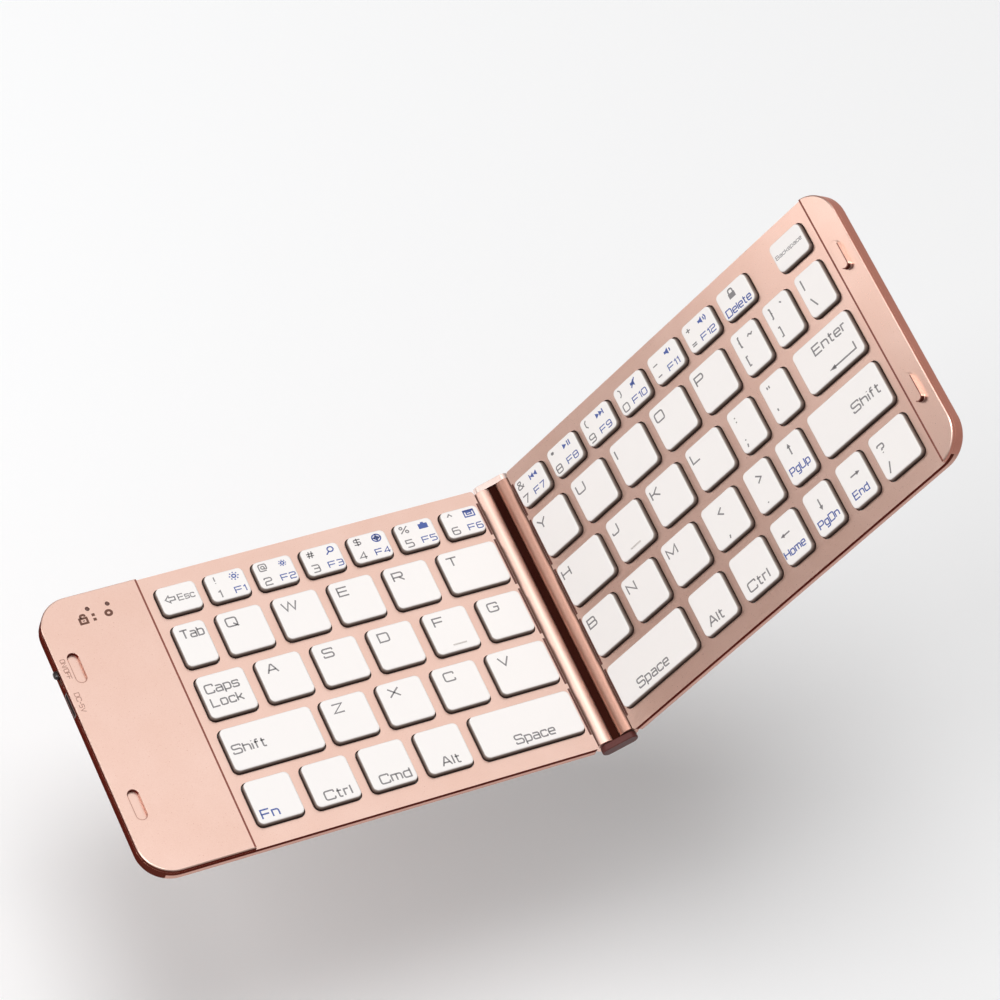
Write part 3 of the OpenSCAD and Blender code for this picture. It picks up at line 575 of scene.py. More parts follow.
# A sign's strokes are parted by |. A stroke is the pen's corners, where s keeps one sharp, @x,y,r is a
# circle, and # fills what the stroke goes round.
signs = {
    "A": "0,0 2.8,6s 3.6,6s 6.4,0|1,2.1 5.4,2.1",
    "B": "0,3.1 0,0s 6.2,0 6.2,3.1 0,3.1s 0,6s 5.8,6 5.8,3.1s",
    "C": "6.2,4.4 6.2,6 0,6 0,0 6.2,0 6.2,1.6", "D": "0,0 6.2,0 6.2,6 0,6s 0,0",
    "E": "6,6 0,6s 0,0s 6,0|0,3.1 5.6,3.1", "F": "0,0 0,6s 6,6|0,3 5.4,3",
    "G": "6.2,4.6 6.2,6 0,6 0,0 6.2,0 6.2,3s 3.4,3", "H": "0,0 0,6|6.2,0 6.2,6|0,3.1 6.2,3.1",
    "I": "0,0 0,6", "J": "0,1.8 0,0 5,0 5,6", "K": "0,0 0,6|6,6 2.2,3.1s 0,3.1|2.4,3.1 6.2,0",
    "L": "0,6 0,0s 5.6,0", "M": "0,0 0,6s 3.7,1.2s 7.4,6s 7.4,0", "N": "0,0 0,6s 6.2,0s 6.2,6",
    "O": "0,3 0,6 6.4,6 6.4,0 0,0 0,3", "P": "0,0 0,6s 6.2,6 6.2,2.6 0,2.6",
    "Q": "0,3 0,6 6.4,6 6.4,0 0,0 0,3|4,2 6.8,-0.6", "R": "0,0 0,6s 6.2,6 6.2,2.7 0,2.7|3.6,2.7 6.3,0",
    "S": "6.2,4.7 6.2,6 0,6 0,3.1 6.2,3.1 6.2,0 0,0 0,1.3", "T": "0,6 6.4,6|3.2,6 3.2,0",
    "U": "0,6 0,0 6.2,0 6.2,6", "V": "0,6 3.2,0s 6.4,6", "W": "0,6 2.3,0s 4.6,6s 6.9,0s 9.2,6",
    "X": "0,0 6.4,6|0,6 6.4,0", "Y": "0,6 3.2,2.9s 6.4,6|3.2,2.9 3.2,0", "Z": "0,6 6.2,6s 0,0s 6.2,0",
    "a": "0.2,4.3 4.8,4.3 4.8,0s 0,0 0,2.4 4.8,2.4", "b": "0,6 0,0s 4.8,0 4.8,4.3 0,4.3",
    "c": "4.6,3.2 4.6,4.3 0,4.3 0,0 4.6,0 4.6,1.1", "d": "4.8,6 4.8,0s 0,0 0,4.3 4.8,4.3",
    "e": "0,2.2 4.8,2.2s 4.8,4.3 0,4.3 0,0 4.6,0", "f": "2.8,6 1,6 1,0|0,4.3 2.8,4.3",
    "g": "4.8,0 0,0 0,4.3 4.8,4.3s 4.8,-1.8 0.2,-1.8", "h": "0,0 0,6|0,4.3 4.6,4.3 4.6,0",
    "i": "0,0 0,4.3|0,5.6 0,6.2", "k": "0,0 0,6|4.4,4.3 1.6,2.2s 0,2.2|1.8,2.2 4.6,0", "l": "0,0 0,6",
    "m": "0,0 0,4.3s 7,4.3 7,0|3.5,4.3 3.5,0", "n": "0,0 0,4.3s 4.6,4.3 4.6,0",
    "o": "0,2.1 0,4.3 4.8,4.3 4.8,0 0,0 0,2.1", "p": "0,-1.8 0,4.3s 4.8,4.3 4.8,0 0,0",
    "r": "0,0 0,4.3s 2.8,4.3", "s": "4.6,3.3 4.6,4.3 0,4.3 0,2.2 4.6,2.2 4.6,0 0,0 0,1",
    "t": "1,6 1,0 3,0|0,4.3 3,4.3",
    "0": "0,3 0,6 5,6 5,0 0,0 0,3", "1": "0,4.8 1.6,6s 1.6,0", "2": "0,4.8 0,6 5,6 5,3.1 0,3.1 0,0s 5,0",
    "3": "0,6 5,6 5,0 0,0|1,3.1 5,3.1", "4": "3.9,0 3.9,6s 0,1.8s 5.2,1.8",
    "5": "5,6 0,6s 0,3.4s 5,3.4 5,0 0,0", "6": "4.8,6 0,6 0,0 5,0 5,3.4 0,3.4", "7": "0,6 5,6s 1.6,0",
    "8": "0,3.1 0,6 5,6 5,0 0,0 0,3.1|0,3.1 5,3.1", "9": "5,2.6 0,2.6 0,6 5,6 5,0 0.2,0",
    "!": "0,2 0,6|0,0 0,0.6", "@": "4,1.8 1.6,1.8 1.6,4.2 4,4.2 4,1.4 5.6,1.4 5.6,6 0,6 0,0 5,0",
    "hash": "1.2,0 2.2,6|3.4,0 4.4,6|0,4 5.4,4|0,2 5.4,2",
    "$": "4.6,4.8 4.6,5.4 0,5.4 0,3.1 4.6,3.1 4.6,0.8 0,0.8 0,1.5|2.3,-0.4 2.3,6.6",
    "%": "0,0 6,6|@1.1,4.9,1.1|@4.9,1.1,1.1", "^": "0,3.6 1.8,6s 3.6,3.6",
    "&": "5.4,0 0.8,4.6 0.8,6 3.8,6 3.8,4.4 0,2.4 0,0 4,0 5.6,2.6",
    "*": "0,4.6 3,4.6|0.7,3.4 2.3,5.8|0.7,5.8 2.3,3.4", "(": "1.6,6.4 0,4.8s 0,1.2s 1.6,-0.4",
    ")": "0,6.4 1.6,4.8s 1.6,1.2s 0,-0.4", "_": "0,0 4.4,0", "-": "0,3 3.6,3", "+": "0,3 4,3|2,1 2,5",
    "=": "0,3.8 4,3.8|0,2.2 4,2.2", "{": "1.8,6.4 0.9,6.4 0.9,3s 0,3s 0.9,3s 0.9,-0.4 1.8,-0.4",
    "}": "0,6.4 0.9,6.4 0.9,3s 1.8,3s 0.9,3s 0.9,-0.4 0,-0.4", "[": "1.4,6.4 0,6.4s 0,-0.4s 1.4,-0.4",
    "]": "0,6.4 1.4,6.4s 1.4,-0.4s 0,-0.4", "bar": "0,6.6 0,-0.6", "back slash": "0,6.4 2.8,-0.4",
    "/": "0,-0.4 2.8,6.4", ":": "0,1 0,1.8|0,4 0,4.8", ";": "0,4 0,4.8|0,1.6 0,0.8s -0.5,-0.6",
    '"': "0,4.2 0,6|1.6,4.2 1.6,6", "'": "0,4.2 0,6", "<": "3.4,5.6 0,3s 3.4,0.4", ">": "0,5.6 3.4,3s 0,0.4",
    ",": "0.5,1.2 0.5,0.4s 0,-1", ".": "0,0 0,0.8", "?": "0,4.8 0,6 4.4,6 4.4,3 2.2,3 2.2,1.8|2.2,0 2.2,0.6",
    "~": "0,2.6 1.3,3.8s 2.9,2.6s 4.2,3.8", "`": "0,6 1.2,4.8",
    "house": "0,3 3.4,6s 3.4,4.4s 8,4.4s 8,1.6s 3.4,1.6s 3.4,0s 0,3",
    "sun": "@3,3,1.3|3,5.4 3,6.4|3,-0.4 3,0.6|5.4,3 6.4,3|-0.4,3 0.6,3|4.7,4.7 5.4,5.4|1.3,1.3 0.6,0.6"
           "|1.3,4.7 0.6,5.4|4.7,1.3 5.4,0.6",
    "small sun": "@3,3,1.1|3,4.9 3,5.6|3,0.4 3,1.1|4.9,3 5.6,3|0.4,3 1.1,3|4.4,4.4 4.9,4.9|1.6,1.6 1.1,1.1"
                 "|1.6,4.4 1.1,4.9|4.4,1.6 4.9,1.1",
    "lens": "@3.8,3.8,2|2.3,2.3 0,0", "globe": "@3,3,3|@3,3,1.4|0,3 6,3|3,0 3,6",
    "camera": "#0,0.6 6.6,0.6 6.6,4.8 0,4.8|#2,4.8 4.6,4.8 4.2,6 2.4,6",
    "window": "0,0.4s 7,0.4s 7,5.6s 0,5.6s 0,0.4|1.8,2.2s 5.2,2.2s 5.2,3.9s 1.8,3.9s 1.8,2.2|0,4.9 7,4.9",
    "previous": "#3.4,0.9 3.4,5.1 0.2,3|#6.6,0.9 6.6,5.1 3.4,3|0,0.9 0,5.1",
    "play": "#0,0.9 3.4,3 0,5.1|4.6,0.9 4.6,5.1|6.2,0.9 6.2,5.1",
    "next": "#0,0.9 3.2,3 0,5.1|#3.2,0.9 6.4,3 3.2,5.1|6.6,0.9 6.6,5.1",
    "mute": "#0,2 1.6,2 3.6,0.4 3.6,5.6 1.6,4 0,4|0,0.2 5,6",
    "quieter": "#0,2 1.6,2 3.6,0.4 3.6,5.6 1.6,4 0,4|4.8,1.8s 5.4,3 4.8,4.2",
    "louder": "#0,2 1.6,2 3.6,0.4 3.6,5.6 1.6,4 0,4|4.8,1.8s 5.4,3 4.8,4.2|6,0.8s 7.2,3 6,5.2",
    "lock": "#0,0 4.8,0 4.8,3.4 0,3.4|0.9,3.4 0.9,6 3.9,6 3.9,3.4",
    "left arrow": "1.6,3 7,3|#0,3 2.8,1.6 2.8,4.4", "right arrow": "0,3 5.4,3|#7,3 4.2,4.4 4.2,1.6",
    "up arrow": "1.4,-0.6 1.4,5|#1.4,7 0,4.2 2.8,4.2", "down arrow": "1.4,1 1.4,6.6|#1.4,-1 2.8,1.8 0,1.8",
    "return": "12.4,5.2 12.4,0.4s 1.6,0.4|#0,0.4 2.8,-1 2.8,1.8",
    "open lock": "0,0 4.2,0s 4.2,3.6s 0,3.6s 0,0|1,3.6 1,6 3.6,6 3.6,4.6|2.1,1.4 2.1,2.2",
    "cell": "#0,0 1.9,0 1.9,2 0,2|#0,3.4 1.9,3.4 1.9,5.4 0,5.4", "oval": "@1.5,3,1.5",
}


def unit(arrows):
    return arrows / np.maximum(np.linalg.norm(arrows, axis=-1, keepdims=True), 1e-9)


def bent_line(corners, bends):
    """A line through corners. One that bends becomes a parabola between points cut back on both sides."""
    back = corners[:-2] - corners[1:-1]
    ahead = corners[2:] - corners[1:-1]
    room = np.minimum(np.linalg.norm(back, axis=1), np.linalg.norm(ahead, axis=1)) / 2
    cut = (np.minimum(pen_bend, room) * bends[1:-1])[:, None, None]
    step = np.linspace(0, 1, bend_points)[None, :, None]
    bend = cut * ((1 - step) ** 2 * unit(back)[:, None] + step ** 2 * unit(ahead)[:, None])
    curve = (corners[1:-1][:, None] + bend).reshape(-1, 2)
    line = np.concatenate([corners[:1], curve, corners[-1:]])
    return line[np.append(True, np.linalg.norm(np.diff(line, axis=0), axis=1) > 1e-6)]


def pen_strokes(sign):
    """A sign's strokes as lines of points on the pen's grid, each with whether it is filled."""
    strokes = []
    for stroke in signs[sign].split("|"):
        if stroke[0] == "@":
            x, y, radius = (float(number) for number in stroke[1:].split(","))
            turn = np.linspace(0, 2 * math.pi, circle_points)
            strokes.append((np.stack([x + radius * np.cos(turn), y + radius * np.sin(turn)], 1), False))
            continue
        words = stroke.strip("#").split()
        corners = np.array([[float(number) for number in word.rstrip("s").split(",")] for word in words])
        bends = np.array([not word.endswith("s") for word in words])
        filled = stroke[0] == "#"
        strokes.append((corners if filled else bent_line(corners, bends), filled))
    return strokes


def inked(line, filled, low, high, wide):
    """A stroke as a flat bar, with its sides half a pen to either side of the line and mitred at its turns.
    A filled one is the plate that it goes round, turned counter-clockwise by the sign of its area."""
    if filled:
        ahead = np.roll(line, -1, 0)
        area = (line[:, 0] * ahead[:, 1] - ahead[:, 0] * line[:, 1]).sum()
        shape = line if area > 0 else line[::-1]
        return closed_rings([np.insert(shape, 2, level, 1) for level in (low, high)])
    looped = np.allclose(line[0], line[-1])
    if looped:
        line = line[:-1]
    ahead = unit(np.roll(line, -1, 0) - line)
    back = unit(line - np.roll(line, 1, 0))
    if not looped:
        ahead[-1], back[0] = back[-1], ahead[0]
    along = unit(ahead + back)
    across = np.stack([-along[:, 1], along[:, 0]], 1)
    stretch = 1 / np.maximum((along * ahead).sum(1, keepdims=True), least_mitre)
    first = line + across * stretch * wide / 2
    second = line - across * stretch * wide / 2
    corners = [(first, low), (first, high), (second, high), (second, low)]
    rings = np.stack([np.insert(side, 2, level, 1) for side, level in corners], 1)
    return closed_rings(list(rings), looped)


def lettering(text, x, y, level, size, wide=None, centred=False, turned=False, bold=1.0):
    """The bars of a text: x is its left end or its middle, and y the middle of its height."""
    strokes, pen = [], 0.0
    for sign in [text] if text in signs else text:
        drawn = pen_strokes(sign)
        strokes += [(line + (pen, 0), filled) for line, filled in drawn]
        pen += max(line[:, 0].max() for line, _ in drawn) + sign_gap
    tall = size / sign_high
    long = pen - sign_gap
    broad = wide / long if wide else tall * sign_broad
    shapes = []
    for line, filled in strokes:
        line = line * (broad, tall) - (long * broad / 2 if centred else 0, size / 2)
        if turned:
            line = line[:, ::-1] * (1, -1)
        wide_pen = pen_share * size * bold
        shapes.append(inked(line + (x, y), filled, level - ink_sunk, level + ink_thick, wide_pen))
    return shapes


def ink(name, colour):
    """Print that lies a little matt and uneven on what it is printed on."""
    paint = Finish(name)
    spread = paint.noise(4000.0, 2.0)
    tone = paint.blend(spread, colour, tuple(1.25 * part for part in colour))
    return paint.surface(Base_Color=tone, Roughness=spread * 0.2 + 0.45)


inks = {name: ink(name + "_ink", colour) for name, colour in (
    ("grey", grey_ink), ("blue", blue_ink), ("brown", brown_ink), ("rose", rose_ink))}
printed = {}


def mark(node, index, text, x, y, wide=None, size=2.7, colour="grey", centred=False):
    """Prints on a cap: x from its left wall, y down from its back wall."""
    low, high = caps[node][index]
    shapes = lettering(text, low[0] + x, high[1] - y, high[2], size, wide, centred)
    printed.setdefault((node, colour), []).extend(shapes)


letter_down = 3.8
rows_of_letters = (
    ("qwer_keys", "QWER", 2.4), ("t_key", "T", 2.4), ("asdfg_keys", "ASDFG", 2.9),
    ("zxc_keys", "ZXC", 3.3), ("v_key", "V", 3.3), ("yuiop_keys", "YUIOP", 1.9),
    ("h_key", "H", 1.7), ("jkl_keys", "JKL", 1.7), ("bnm_keys", "BNM", 2.0))
for node, letters, inset in rows_of_letters:
    for index, letter in enumerate(letters):
        mark(node, index, letter, inset, letter_down)

upper_down = 2.5
picture_down = 2.6
lower_down = 7.2
number_rows = (
    ("left_number_keys", 1, ("!", "@", "hash", "$", "%", "^"), "123456", 1, (3.0, 9.1),
     ("sun", "small sun", "lens", "globe", "camera", "window")),
    ("right_number_keys", 0, ("&", "*", "(", ")", "_", "+"), "7890-=", 7, (2.6, 8.3),
     ("previous", "play", "next", "mute", "quieter", "louder")))
for node, first, upper, digits, function, (near, far), pictures in number_rows:
    for step in range(6):
        key = first + step
        named = "F" + str(function + step)
        mark(node, key, upper[step], near, upper_down, size=2.2, centred=True)
        mark(node, key, digits[step], near, lower_down, size=2.3, centred=True)
        mark(node, key, pictures[step], far, picture_down, size=2.4, colour="blue", centred=True)
        mark(node, key, named, far + 0.2, lower_down, size=1.9, colour="blue", centred=True)

mark("left_number_keys", 0, "house", 2.0, 4.6, wide=2.9, size=2.3)
mark("left_number_keys", 0, "Esc", 5.9, 4.7, wide=4.9, size=1.9)
mark("tab_key", 0, "Tab", 1.9, letter_down, wide=6.8)
mark("caps_lock_key", 0, "Caps", 1.8, 4.8, wide=10.0)
mark("caps_lock_key", 0, "Lock", 1.9, 9.2, wide=9.6)
mark("left_shift_key", 0, "Shift", 1.8, 7.4, wide=10.0)
for index, (text, inset, wide, colour) in enumerate((
        ("Fn", 1.7, 5.2, "blue"), ("Ctrl", 3.5, 8.0, "grey"),
        ("Cmd", 3.1, 9.3, "grey"), ("Alt", 4.8, 5.6, "grey"))):
    mark("left_modifier_keys", index, text, inset, 11.2, wide=wide, colour=colour)
mark("left_space_key", 0, "Space", 10.7, 11.0, wide=12.5)
mark("right_space_key", 0, "Space", 8.3, 10.8, wide=12.9)
mark("right_modifier_keys", 0, "Alt", 3.5, 10.9, wide=5.7)
mark("right_modifier_keys", 1, "Ctrl", 2.9, 10.9, wide=8.2)
mark("right_number_keys", 6, "lock", 5.9, 2.9, size=2.8, centred=True)
mark("right_number_keys", 6, "Delete", 1.4, 7.3, wide=9.9, size=2.2, colour="blue")
mark("backspace_key", 0, "Backspace", 1.2, 4.7, wide=10.4, size=1.1)
for index, (upper, lower, extra) in enumerate((
        ("{", "[", "~"), ("}", "]", "`"), ("bar", "back slash", None))):
    mark("bracket_keys", index, upper, 2.4, letter_down, size=2.8)
    mark("bracket_keys", index, lower, 2.6, 10.0, size=2.6)
    if extra:
        mark("bracket_keys", index, extra, 7.2, letter_down, size=2.6, centred=True)
for node, index, upper, lower, inset, down in (
        ("punctuation_keys", 0, ":", ";", 2.8, 3.6), ("punctuation_keys", 1, '"', "'", 2.8, 3.8),
        ("bnm_keys", 3, "<", ",", 5.9, 4.6), ("period_up_keys", 0, ">", ".", 4.4, 4.6),
        ("slash_key", 0, "?", "/", 2.4, 5.1)):
    mark(node, index, upper, inset, down)
    mark(node, index, lower, inset, 11.0)
mark("enter_key", 0, "Enter", 7.5, 4.0, wide=12.8)
mark("enter_key", 0, "return", 9.2, 10.6, wide=10.8, size=2.9)
mark("right_shift_key", 0, "Shift", 15.1, 7.8, wide=10.7)
mark("period_up_keys", 1, "up arrow", 4.9, 4.2, size=2.8, centred=True)
mark("period_up_keys", 1, "PgUp", 1.6, 10.1, wide=7.5, size=2.2, colour="blue")
for index, (arrow, text, middle, inset, wide) in enumerate((
        ("left arrow", "Home", 4.1, 0.9, 8.0), ("down arrow", "PgDn", 5.1, 1.5, 7.8),
        ("right arrow", "End", 5.9, 2.2, 5.7))):
    mark("arrow_keys", index, arrow, middle, 5.6, size=2.8, centred=True)
    mark("arrow_keys", index, text, inset, 10.7, wide=wide, size=2.2, colour="blue")

for (node, colour), shapes in printed.items():
    points, faces = gathered(shapes)
    piece(f"{node}_{colour}_print", half_of[node].place(points), faces, node, inks[colour], "keycaps")

# The finger bars are painted grey as their shade on the white caps.
finger_bar_painted_shade = (0.62, 0.58, 0.55)
paint = Finish("finger_bar")
gloss = paint.noise(cap_grain_scale, 1.0) * 0.1 + 0.4
bar_finish = paint.surface(Base_Color=finger_bar_painted_shade, Roughness=gloss)
finger_bar_thick = 0.35
finger_bar_wide = 4.2
finger_bar_high = 0.22
finger_bar_down = 12.0
for node, index, inset in (("asdfg_keys", 3, 7.8), ("jkl_keys", 0, 7.2)):
    low, high = caps[node][index]
    middle = (low[0] + inset, high[1] - finger_bar_down)
    ends = np.array([[-0.5, 0], [0.5, 0]]) * finger_bar_wide + middle
    points, faces = inked(ends, False, high[2] - ink_sunk, high[2] + finger_bar_high, finger_bar_thick)
    piece(node + "_finger_bar", half_of[node].place(points), faces, node, bar_finish, "keycaps")

lamp_low, lamp_high = (left.find([corner])[0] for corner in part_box("indicator_lights"))
lamp_y = (lamp_low[1] + lamp_high[1]) / 2
panel_edge = left.find([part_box("left_end_panel")[0]])[0, 0]
icon_down = 2.9
icon_bold = 1.5
word_in = 2.15
word_high = 1.35
icons, words = [], []
for text, beside, size in (("open lock", -1.8, 2.7), ("cell", 1.5, 2.7), ("oval", 6.0, 3.1)):
    x, y = lamp_low[0] + beside, lamp_y - icon_down
    icons += lettering(text, x, y, panel_top, size, None, True, bold=icon_bold)
for text, y, wide in (("ON/OFF", 68.0, 6.4), ("DC-5V", 57.0, 6.2)):
    words += lettering(text, panel_edge + word_in, y, panel_top, word_high, wide, True, True)
for name, shapes, colour in (("panel_icons", icons, "brown"), ("panel_words", words, "rose")):
    points, faces = gathered(shapes)
    piece(name, left.place(points), faces, "left_half", inks[colour], "rose_metal")


# ---------------------------------------------------------------------------
# The painted shade: a dark line painted along the inner top edge of each end cover
# stands for the shadow of its step, short dark strips painted beside the key rows at
# the hinge stand for the shade in the windows there, and the catch recesses and nubs
# get painted shade lines.
# ---------------------------------------------------------------------------
shadow_line_wide = 0.55
seam_proud = 0.03
shadow_line_off = 0.05
shadow_line_in = 0.35
shadow_line_deep = 0.3
# These reds are painted shade: the shadow line by the covers and the shade strips by the hinge.
shadow_line_red = (0.28, 0.075, 0.050)
shadow_line_red_deep = (0.21, 0.055, 0.038)
slot_red = (0.15, 0.045, 0.032)
slot_red_deep = (0.10, 0.030, 0.022)


def matt_paint(name, light, deep):
    """Matt paint for the painted shade lines, a little uneven in colour and gloss."""
    paint = Finish(name)
    grain = paint.noise(3000.0, 2.0)
    return paint.surface(Base_Color=paint.blend(grain, light, deep), Roughness=grain * 0.1 + 0.55)


shadow_line_paint = matt_paint("shadow_line_paint", shadow_line_red, shadow_line_red_deep)
slot_paint = matt_paint("slot_paint", slot_red, slot_red_deep)


def strip(name, lines, level, wide, half, finish, deep):
    """Flat bars along straight lines in the half's frame, standing a little proud of a level."""
    bars = [inked(np.array(line, float), False, level - deep, level + seam_proud, wide) for line in lines]
    points, faces = gathered(bars)
    return piece(name, half.place(points), faces, half.body, finish, "rose_metal")


# A dark red line painted on each cover's top along its inner edge stands for the shadow of the step.
for half, cover in ((left, "left_end_panel"), (right, "right_end_strip")):
    source = frame["nodes"][cover].data
    found = half.find([vertex.co[:] for vertex in source.vertices])
    inner = found[:, 0].max() if half is left else found[:, 0].min()
    along = inner - half_turn[half.body] * (shadow_line_wide / 2 + shadow_line_off)
    line = [(along, shadow_line_in), (along, half_depth - shadow_line_in)]
    strip(cover + "_seam", [line], panel_top, shadow_line_wide, half, shadow_line_paint, shadow_line_deep)

# Short dark strips painted on the deck beside the key rows at the hinge stand for the shade in the windows
# there.
slot_wide = 0.68
slot_in = 0.42
slot_before = 0.9
slot_after = 0.6
slot_deep = 0.1
for half, rows in (
        (left, ("left_number_keys", "t_key", "asdfg_keys", "v_key", "left_space_key")),
        (right, ("right_number_keys", "yuiop_keys", "h_key", "bnm_keys", "right_space_key"))):
    spans = [(caps[node][0][0][1], caps[node][0][1][1]) for node in rows]
    along = -half_turn[half.body] * slot_in
    lines = [[(along, low - slot_before), (along, high + slot_after)] for low, high in spans]
    strip(half.body + "_hinge_slots", lines, 0.0, slot_wide, half, slot_paint, slot_deep)

# A dark line painted on each catch nub, along the edge of its top from its side round its front end, is
# painted shade.
nub_line_in = 0.15
nub_line_wide = 0.26
nub_line_deep = 0.1
nub_line_turn = -2.4
nub_line_points = 14
found = right.find([vertex.co[:] for vertex in frame["nodes"]["right_end_strip"].data.vertices])
nub_top = found[:, 2].max()
tops = found[found[:, 2] > nub_top - hair]
nub_lines = []
for nub in (tops[tops[:, 1] < half_depth / 2], tops[tops[:, 1] > half_depth / 2]):
    low, high = nub.min(0), nub.max(0)
    reach = (high[0] - low[0]) / 2
    turn = np.linspace(0, nub_line_turn, nub_line_points)
    bend = low[:2] + reach + (reach - nub_line_in) * np.stack([np.cos(turn), np.sin(turn)], 1)
    line = np.concatenate([[(high[0] - nub_line_in, high[1] - reach)], bend])
    nub_lines.append(inked(line, False, nub_top - nub_line_deep, nub_top + seam_proud, nub_line_wide))
points, faces = gathered(nub_lines)
piece("nub_lines", right.place(points), faces, "right_half", shadow_line_paint, "rose_metal")

# Each catch recess has a thin ring painted round its wall as shade, which thickens and darkens at its back
# end as painted shadow.
clear_of_ends = 8
clear_of_edge = 2
seat_within = 12
liner_thin = 0.13
liner_thick = 0.27
liner_rise = 0.012
liner_sunk = 0.02
liner_points = 17
liner_back = 0.9
least_step = 0.05
found = left.find([vertex.co[:] for vertex in frame["nodes"]["left_end_panel"].data.vertices])
inward = found[:, 0] - panel_edge
on_top = abs(found[:, 2] - panel_top) < hair
between = (found[:, 1] > clear_of_ends) & (found[:, 1] < half_depth - clear_of_ends)
rims = found[on_top & between & (inward > clear_of_edge) & (inward < seat_within)]
seat_floor = min(level for level in found[:, 2] if level > least_step)
liners = []
seats = (rims[rims[:, 1] < half_depth / 2], rims[rims[:, 1] > half_depth / 2])
for rim in seats:
    low, high = rim.min(0), rim.max(0)
    reach = (high[0] - low[0]) / 2
    turn = np.linspace(0, math.pi, liner_points)
    around = np.concatenate([turn, turn + math.pi])
    back, front = (low[0] + reach, high[1] - reach), (low[0] + reach, low[1] + reach)
    middle = np.where(around[:, None] < math.pi + 1e-6, [back], [front])
    outward = np.stack([np.cos(around), np.sin(around)], 1)
    outer = middle + outward * (reach + liner_sunk)
    thick = liner_thin + (liner_thick - liner_thin) * np.clip(outward[:, 1:], 0, 1)
    inner = middle + outward * (reach - thick)
    top, bottom = panel_top + liner_rise, seat_floor + hair
    rings = np.stack([np.insert(side, 2, level, 1) for side, level in (
        (outer, bottom), (inner, bottom), (inner, top), (outer, top))], 1)
    liners.append(closed_rings(list(rings), True))
points, faces = gathered(liners)
made = piece("catch_seat_liners", left.place(points), faces, "left_half", wall_metal, "rose_metal")
made.data.materials.append(painted_shade_metal)
for face in made.data.polygons:
    depth = left.find([face.center[:]])[0, 1]
    near = min(abs(depth - (rim[:, 1].max() - reach / 2)) for rim in seats)
    face.material_index = 1 if near < reach * liner_back else 0


# ---------------------------------------------------------------------------
# The hinge: a rose barrel along each half, the right one painted darker as shade, a dark
# spine between them that both turn in, and a cap on each end that holds the steel pins,
# painted dark maroon as shade and reflection. The back cap's rim is painted a paler rose as a highlight.
# ---------------------------------------------------------------------------
# The caps' dark maroon is painted shade and painted reflection.
enamel = (0.10, 0.030, 0.027)
enamel_light = (0.14, 0.046, 0.040)
spine_brown = (0.034, 0.008, 0.005)
spine_dark = (0.022, 0.004, 0.003)
spine_edge = (0.30, 0.13, 0.10)
# The right barrel's darker rose is painted shade.
right_barrel_rose = (0.56, 0.32, 0.25)
right_barrel_deep = (0.48, 0.26, 0.20)
barrel_edge = 0.15
spine_round = 0.1
hinge_cap_round = 0.4
facing_along = 0.5
left_barrel_metal = rose_metal("left_barrel_metal", 0.46, grip=0.03)
right_barrel_metal = rose_metal("right_barrel_metal", 0.42, right_barrel_rose, right_barrel_deep, 0.03)
softened("left_hinge_barrel", left_barrel_metal, barrel_edge)
softened("right_hinge_barrel", right_barrel_metal, barrel_edge)
cap_rim_painted_highlight_metal = rose_metal("cap_rim_painted_highlight_metal", 0.38, painted_highlight_rose, rose, 0.0)
paint = Finish("dark_enamel")
spots = paint.noise(300.0, 2.0)
gloss = spots * 0.1 + 0.38
enamel_finish = paint.surface(
    Base_Color=paint.blend(spots, enamel, enamel_light), Roughness=gloss, Specular_IOR_Level=0.18)
softened("front_hinge_cap", enamel_finish, hinge_cap_round, 4)
made = softened("back_hinge_cap", cap_rim_painted_highlight_metal, hinge_cap_round, 4)
made.data.materials.append(enamel_finish)
for face in made.data.polygons:
    face.material_index = 1 if abs(face.normal.y) > facing_along else 0
spine_finish = rose_metal("spine_finish", 0.42, spine_brown, spine_dark, 0.03, edge=spine_edge)
softened("hinge_spine", spine_finish, spine_round)


# ---------------------------------------------------------------------------
# The small parts: the switch's knob is a moulded black button that looks out
# of the end wall, the status lamps are dark lenses, and the feet are rubber.
# ---------------------------------------------------------------------------
def moulded(name, colour, roughness, scale=3000.0, uneven=0.1, **sockets):
    """A moulded or machined finish: one colour that drifts a little, and a fine grain in its gloss."""
    paint = Finish(name)
    grain = paint.noise(scale, 2.0)
    lighter = tuple(min(1.0, part * 1.3 + 0.004) for part in colour)
    return paint.surface(
        Base_Color=paint.blend(grain, colour, lighter), Roughness=grain * uneven + roughness,
        Normal=paint.bump(grain, 0.05, 0.00002), **sockets)


knob_out = 0.6
knob_fuller = 0.25
knob_around = 32
knob_along = 18
knob_swell = 0.7
knob_low, knob_high = (left.find([corner])[0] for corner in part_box("power_switch_knob"))
knob_middle = (knob_low + knob_high) / 2 - (knob_out / 2, 0, 0)
knob_half = (knob_high - knob_low) / 2 + (knob_out / 2, 0, knob_fuller)
wide, tall = np.meshgrid(
    np.linspace(0, 2 * math.pi, knob_around, endpoint=False),
    np.linspace(-math.pi / 2, math.pi / 2, knob_along)[1:-1])


def swell(value):
    """A signed power under 1 fills a ball out towards its box."""
    return np.sign(value) * abs(value) ** knob_swell


# The knob is a swollen ball: its rings go round the y axis, and a small face closes it at each end.
across, along, up = swell(np.sin(wide)), swell(np.sin(tall)), swell(np.cos(wide))
girth = swell(np.cos(tall))
ball = np.stack([girth * across, along, girth * up], 2)
points, faces = closed_rings(list(knob_middle + ball * knob_half))
black_plastic = moulded("black_plastic", (0.014, 0.009, 0.008), 0.22)
knob = piece("power_knob", left.place(points), faces, "power_switch", black_plastic, "black_plastic")
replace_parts(knob, "power_switch_knob")

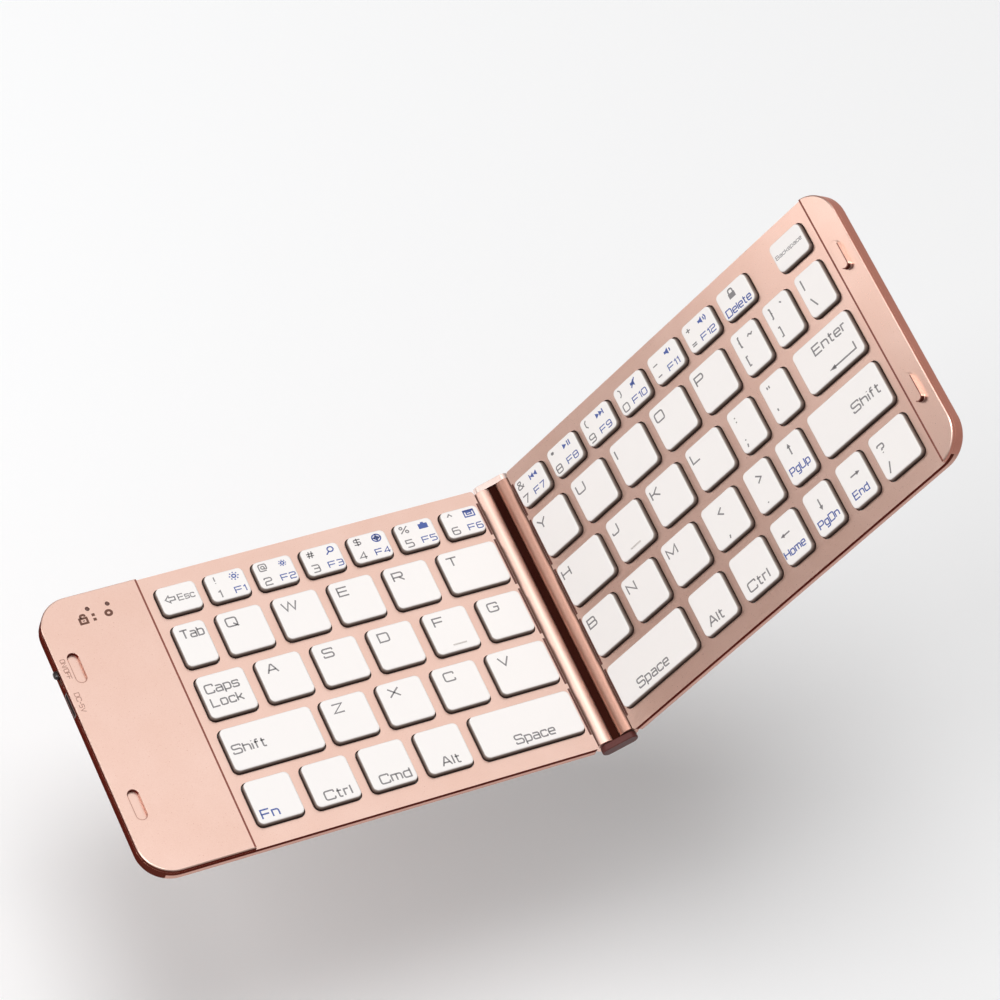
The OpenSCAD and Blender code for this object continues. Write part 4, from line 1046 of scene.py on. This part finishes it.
foot_round = 0.15
lens_round = 0.05
rubber = moulded("black_rubber", (0.018, 0.016, 0.016), 0.72)
for node in ("left_feet", "right_feet"):
    softened(node, rubber, foot_round)
dark_lens = moulded("dark_lens", (0.10, 0.035, 0.022), 0.25, Coat_Weight=0.4)
softened("indicator_lights", dark_lens, lens_round)


# ---------------------------------------------------------------------------
# The rubber domes: each key stands on a soft hollow dome of the silicone sheet
# under it.
# ---------------------------------------------------------------------------
# The profile's steps: radius in millimetres, and height as a share of the dome's.
dome_profile = ((2.6, 0.0), (2.5, 0.18), (1.95, 0.40), (1.55, 0.62), (1.4, 0.86), (1.3, 0.97), (1.1, 1.0))
dome_sides = 24
sheet_corner = 1.0
silicone = moulded("silicone", (0.62, 0.62, 0.60), 0.55)


def dome_shape(x, y, foot, top):
    """A dome's rings, one for each step of the profile, round an upright line at x, y."""
    turn = np.linspace(0, 2 * math.pi, dome_sides, endpoint=False)
    rings = []
    for radius, share in dome_profile:
        level = 0 * turn + foot + share * (top - foot)
        rings.append(np.stack([x + radius * np.cos(turn), y + radius * np.sin(turn), level], 1))
    return closed_rings(rings)


for half, rows, node in ((left, left_rows, "left_dome_sheet"), (right, right_rows, "right_dome_sheet")):
    found = half.find([vertex.co[:] for vertex in frame["nodes"][node].data.vertices])
    foot, top = found[:, 2].min(), found[:, 2].max()
    base = found[found[:, 2] < foot + hair]
    low, high = base.min(0), base.max(0)
    sheet_top = min(level for level in found[:, 2] if level > foot + least_step)
    rings = [rounded_ring(low, high, sheet_corner, 0.0, level) for level in (foot, sheet_top)]
    points, faces = closed_rings(rings)
    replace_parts(piece(node + "_flat", half.place(points), faces, half.body, silicone, "silicone"), node)
    for row in rows:
        domes = []
        for low, high in caps[row]:
            x, y = (low[0] + high[0]) / 2, (low[1] + high[1]) / 2
            domes.append(dome_shape(x, y, sheet_top, top))
        points, faces = gathered(domes)
        made = piece(row + "_domes", half.place(points), faces, None, silicone, "silicone")
        half.place([x, y, sheet_top])
        half.place([x, y, top])
        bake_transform(made)


# ---------------------------------------------------------------------------
# The inner parts: steel plates and a film of contacts lie under the keys, a
# foil battery and a green board under the end panel, and steel pins, screws
# and nickel magnets are pressed or screwed into the metal.
# ---------------------------------------------------------------------------
steel = moulded("steel", (0.42, 0.41, 0.40), 0.30, Metallic=1.0)
dark_steel = moulded("dark_steel", (0.16, 0.11, 0.10), 0.34, Metallic=1.0)
nickel = moulded("nickel", (0.70, 0.68, 0.64), 0.25, Metallic=1.0)
green_board = moulded("green_board", (0.015, 0.10, 0.04), 0.4)
foil = moulded("battery_foil", (0.45, 0.46, 0.48), 0.4, 400.0, Metallic=0.9)
film = moulded("film", (0.16, 0.16, 0.17), 0.3)
cable_black = moulded("cable_black", (0.02, 0.02, 0.02), 0.5)
finishes = {
    "screws": dark_steel, "magnets": nickel, "pins": steel, "plate": steel, "socket": dark_steel,
    "board": green_board, "battery": foil, "membrane": film, "cable": cable_black,
    "switch_body": black_plastic}
for node, part in frame["nodes"].items():
    if not part.hide_render:
        part.data.materials.clear()
        part.data.materials.append(next(finishes[word] for word in finishes if word in node))
